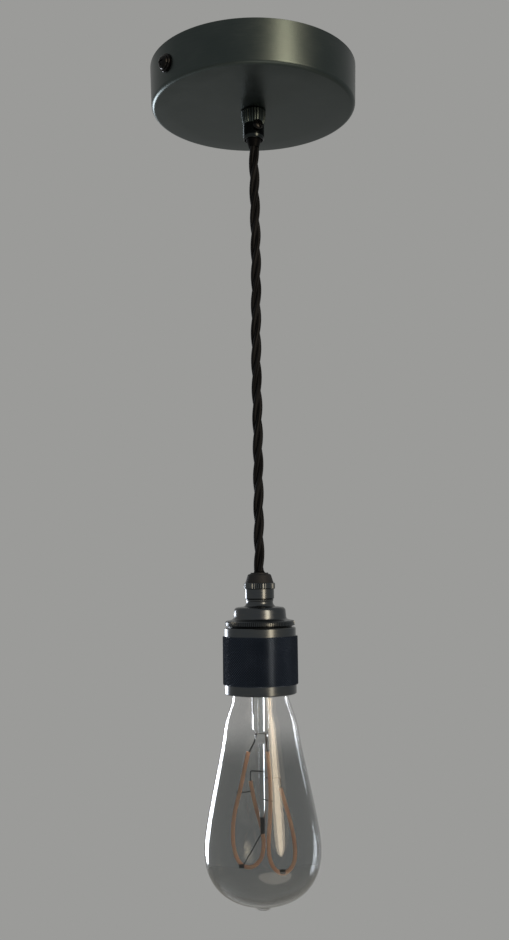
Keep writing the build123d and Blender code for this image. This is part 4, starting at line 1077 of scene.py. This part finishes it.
# ---------------- lamp
@dataclass
class FilamentLamp:
    """The smoked envelope, its rolled screw cap, the glass stem and two filament loops.

    Attributes:
        turn: Degrees from +X to the filaments' own axis.
        wall: The envelope's thickness.
        sides: Vertices round the envelope.
    """

    turn: float = -36.5
    wall: float = 0.9
    sides: int = 160

    def __post_init__(self) -> None:
        """Read the lamp's levels from the frame."""
        self.rim = Span.of("lamp_screw_cap").bottom
        self.glass = Span.of("lamp_glass")
        self.tip = Span.of("lamp_rod_tip")
        self.pinch_bottom = Span.of("lamp_centre_rod").top

    def at(self, across: float, back: float, drop: float) -> Point:
        """A place in millimetres across, back and below the cap's rim, in the lamp's own frame."""
        turn = radians(self.turn)
        return (
            (across * cos(turn) - back * sin(turn)),
            (across * sin(turn) + back * cos(turn)),
            self.rim - drop,
        )

    def build(self) -> None:
        """Make the lamp's pieces, from the outside in."""
        self._envelope()
        self._cap()
        self._stem()
        self._filaments()
        self._wires()

    def _envelope(self) -> None:
        """Turn the pear-shaped envelope and give it its wall."""
        rim, bottom = self.rim, self.glass.bottom
        belly = self.glass.radius
        pip = 3
        rise = 29.5
        level = bottom + pip + rise

        def to(radius: float, drop: float) -> Point:
            """A point of the outline, from millimetres out and below the rim."""
            return (radius, 0.0, rim - drop)

        outline = [(11.0, self.glass.top), (11.0, rim + 0.6)]
        outline += curve_between(to(11, -0.6), to(11, 0.4), to(15.4, 0.2), to(15.7, 5), 9)
        outline += curve_between(to(15.7, 5), to(15.9, 10), to(19.6, 15.5), to(20.8, 23.9), 9)
        belly_point = (belly, 0.0, level)
        outline += curve_between(to(20.8, 23.9), to(22.3, 38), (belly, 0, level + 13.5), belly_point, 22)
        power = 2.3
        for step in range(1, 25):
            angle = radians(90 * step / 25)
            outline.append((belly * cos(angle) ** (2 / power), level - rise * sin(angle) ** (2 / power)))
        outline = [point for point in outline if point[0] > 7.2]
        foot = outline[-1][1]
        outline += [(6.6, foot - 0.35), (6.0, foot - 0.9), (5.0, foot - 1.7), (3.6, bottom + 0.45)]
        outline += [(1.8, bottom + 0.1), (0.0, bottom)]
        glass = Bench.turn("envelope", outline, self.sides)
        with Bench.editing(glass) as mesh:
            lid = [face for face in mesh.faces if len(face.verts) > 4]
            bmesh.ops.delete(mesh, geom=lid, context="FACES_ONLY")
        Bench.modify(glass, "SOLIDIFY", thickness=self.wall * MM, offset=-1.0, use_even_offset=True)
        Bench.fit(glass, "lamp", "smoked_glass", Paint.SMOKED, "lamp_glass", angle=60)

    def _cap(self) -> None:
        """Turn the cap's shell and roll a round helical thread into it."""
        span = Span.of("lamp_screw_cap")
        crest, depth, wall = span.radius, 0.8, 0.35
        pitch = 3.629
        sides = 120
        low, high = span.bottom + 1.2, span.top - 2.4
        rows = 44
        root = crest - depth
        start = span.top - 1.0
        levels = [start - (start - span.bottom) * row / rows for row in range(rows + 1)]
        outline = [(10.7, span.top), (root - 0.5, span.top)]
        outline += [(root, level) for level in levels]
        outline += [(root - wall, level) for level in reversed(levels)] + [(10.7, span.top)]
        shell = Bench.turn("rolled_cap", outline, sides)
        with Bench.editing(shell) as mesh:
            for vertex in mesh.verts:
                at = vertex.co / MM
                fade = min(max((at.z - low) / 2, 0), 1) * min(max((high - at.z) / 2, 0), 1)
                swell = (1 - cos(tau * (at.z / pitch) - atan2(at.y, at.x))) / 2 * depth * fade
                reach = hypot(at.x, at.y)
                grown = (reach + swell) / reach
                vertex.co = Vector((at.x * grown, at.y * grown, at.z)) * MM
        Bench.fit(shell, "lamp", "nickel_cap", Paint.NICKEL, "lamp_screw_cap", angle=50)

    def _stem(self) -> None:
        """Make the stem tube, its exhaust tube, the pinch, the rod and the rod's dark tip."""
        tube = 5.2
        top = self.glass.top - 1.0
        end = self.rim - 24
        flare = 9.6
        outline = [(flare - 0.7, top), (flare, top)]
        handles = (flare - 1, 0, top - 4), (tube, 0, top - 5)
        outline += curve_between((flare, 0, top), *handles, (tube, 0, top - 9), 8)
        outline += [(tube, end + 1.5), (tube - 0.5, end - 0.2), (tube - 1.6, end - 1.5)]
        outline += [(tube - 2.2, end - 1.2), (tube - 1.2, end + 0.2), (tube - 0.75, end + 1.8)]
        outline += [(tube - 0.75, top - 9), (flare - 2.2, top - 3.5), (flare - 0.7, top)]
        stem = Bench.turn("stem_tube", outline, 96)
        exhaust = Bench.turn("exhaust", [(1.9, top), (1.9, end), (1.5, end - 1.2), (0.0, end - 1.4)], 48)
        pinch_top = end - 1.4
        size = (7, 3.6, pinch_top - self.pinch_bottom)
        centre = (0, 0, (pinch_top + self.pinch_bottom) / 2)
        pinch = Bench.block("pinch", size, centre, (0, 0, radians(self.turn)))
        Bench.bevel(pinch, 1.1, 4)
        parts = Bench.join("glass_stem", [stem, exhaust, pinch])
        Bench.fit(parts, "lamp", "stem_glass", Paint.CLEAR, "lamp_stem", angle=50)

        rod = Bench.turn("centre_rod", [(1.6, self.pinch_bottom), (1.6, self.tip.top)], 48)
        Bench.fit(rod, "lamp", "stem_glass", Paint.CLEAR, "lamp_centre_rod")
        radius = 1.25
        outline = [(radius * 0.8, self.tip.top), (radius, self.tip.top - 0.6)]
        outline += arc(radius - 0.8, self.tip.bottom + 0.8, 0.8, 0, -80, 5) + [(0.0, self.tip.bottom)]
        tip = Bench.turn("rod_tip", outline, 48)
        Bench.fit(tip, "lamp", "rod_tip", Paint.ROD_TIP, "lamp_rod_tip")

    def _filaments(self) -> None:
        """Lay the two flat flexible filaments along their loops."""
        loops = {
            "lamp_filament_left": [
                (-7.3, -1.0, 35.5), (-9.6, -0.5, 45.0), (-12.2, 0.0, 57.0), (-15.6, 1.0, 69.0),
                (-16.6, 2.0, 81.0), (-15.6, 3.0, 90.5), (-12.0, 3.8, 97.5), (-6.0, 4.3, 98.8),
                (-0.8, 4.8, 94.5), (0.9, 5.0, 86.0), (-0.8, 5.0, 76.0), (-4.6, 4.5, 63.0), (-6.4, 4.0, 52.0),
            ],
            "lamp_filament_right": [
                (3.3, -1.0, 35.5), (4.4, -2.4, 48.0), (4.6, -3.8, 60.0), (4.0, -4.8, 72.0),
                (3.0, -5.5, 83.0), (3.4, -5.5, 91.5), (6.6, -5.5, 98.0), (12.0, -5.3, 99.8),
                (17.2, -4.2, 94.5), (17.6, -2.5, 86.0), (16.2, 0.5, 77.0), (13.2, 2.6, 66.0),
                (10.2, 4.0, 56.0),
            ],
        }
        width, thick = 2.2 * MM, 1.1 * MM
        facing = Vector(self.at(0, 1, 0)) - Vector(self.at(0, 0, 0))

        def section(_ring: int, angle: float) -> tuple[float, float]:
            """A flat strip with round edges."""
            across, rise = cos(angle), sin(angle)
            return (
                width / 2 * abs(across) ** 0.6 * (1 if across > 0 else -1),
                thick / 2 * abs(rise) ** 0.8 * (1 if rise > 0 else -1),
            )

        for node, points in loops.items():
            route = smooth_route(node, [self.at(*point) for point in points], 10)
            strip = lay_tube(node.replace("lamp_", "") + "_strip", route, section, 16, facing)
            Bench.fit(strip, "lamp", "filament_coat", Paint.FILAMENT, node, angle=60)

    def _wires(self) -> None:
        """Lay the lead-in and support wires, and crimp the clips on the loops' lowest bends."""
        leads = [
            [(-2.6, 0.0, 26.0), (-3.6, 0.0, 30.0), (-5.8, -0.5, 33.5), (-7.3, -1.0, 37.0)],
            [(2.2, 0.0, 26.0), (2.4, 0.0, 29.0), (2.9, -0.6, 33.0), (3.3, -1.0, 37.0)],
        ]
        supports = [
            [(0.8, 0.5, 46.2), (-3.0, 2.4, 46.6), (-6.2, 3.9, 46.4), (-6.6, 4.1, 48.5), (-6.4, 4.0, 54.0)],
            [(-14.2, -0.4, 57.2), (-9.0, 2.5, 58.0), (-4.6, 4.9, 57.4)],
            [(0.8, -0.5, 61.0), (3.0, -2.8, 61.5), (6.0, -4.9, 61.2)],
            [(-0.4, 0.4, 79.0), (-5.5, 2.1, 88.0), (-10.5, 3.7, 96.5)],
            [(0.8, 0.5, 49.8), (5.5, 2.2, 50.3), (9.9, 3.9, 50.2), (10.4, 4.1, 52.5), (10.2, 4.0, 58.0)],
        ]
        for name, node, routes, size in (
            ("lead_wires", "lamp_lead_wires", leads, 0.45 * MM),
            ("support_wires", "lamp_support_wires", supports, 0.32 * MM),
        ):
            runs = []
            for number, points in enumerate(routes):
                route = smooth_route(name, [self.at(*point) for point in points], 6)
                runs.append(
                    lay_tube(f"{name}_{number}", route, lambda _ring, a: (size * cos(a), size * sin(a)), 10)
                )
            wires = Bench.join(name, runs)
            Bench.fit(wires, "lamp", "wire_steel", Paint.WIRE, node, angle=60)
        clips = []
        for across, back, drop in ((-11.8, 3.8, 97.4), (10.6, -5.4, 98.3)):
            size = {"vertices": 24, "radius": 1.25 * MM, "depth": 3.0 * MM}
            clip = Bench.start("clip", bpy.ops.mesh.primitive_cylinder_add, **size)
            Bench.bevel(clip, 0.35)
            Bench.place(clip, self.at(across, back, drop), (0, pi / 2, radians(self.turn)))
            clips.append(clip)
        pair = Bench.join("filament_clips", clips)
        Bench.fit(pair, "lamp", "rod_tip", Paint.ROD_TIP, "lamp_filament_clips")


# ---------------- main
def main() -> None:
    """Build the studio first, then the flex, the rose, the lampholder and the lamp."""
    logging.basicConfig(level=logging.INFO, format="%(name)s: %(message)s")
    Studio().build()
    TwistedFlex().build()
    Rose().build()
    Lampholder().build()
    FilamentLamp().build()
    dress_inner_nodes()
    Bench.clear()


if __name__ == "__main__":
    main()
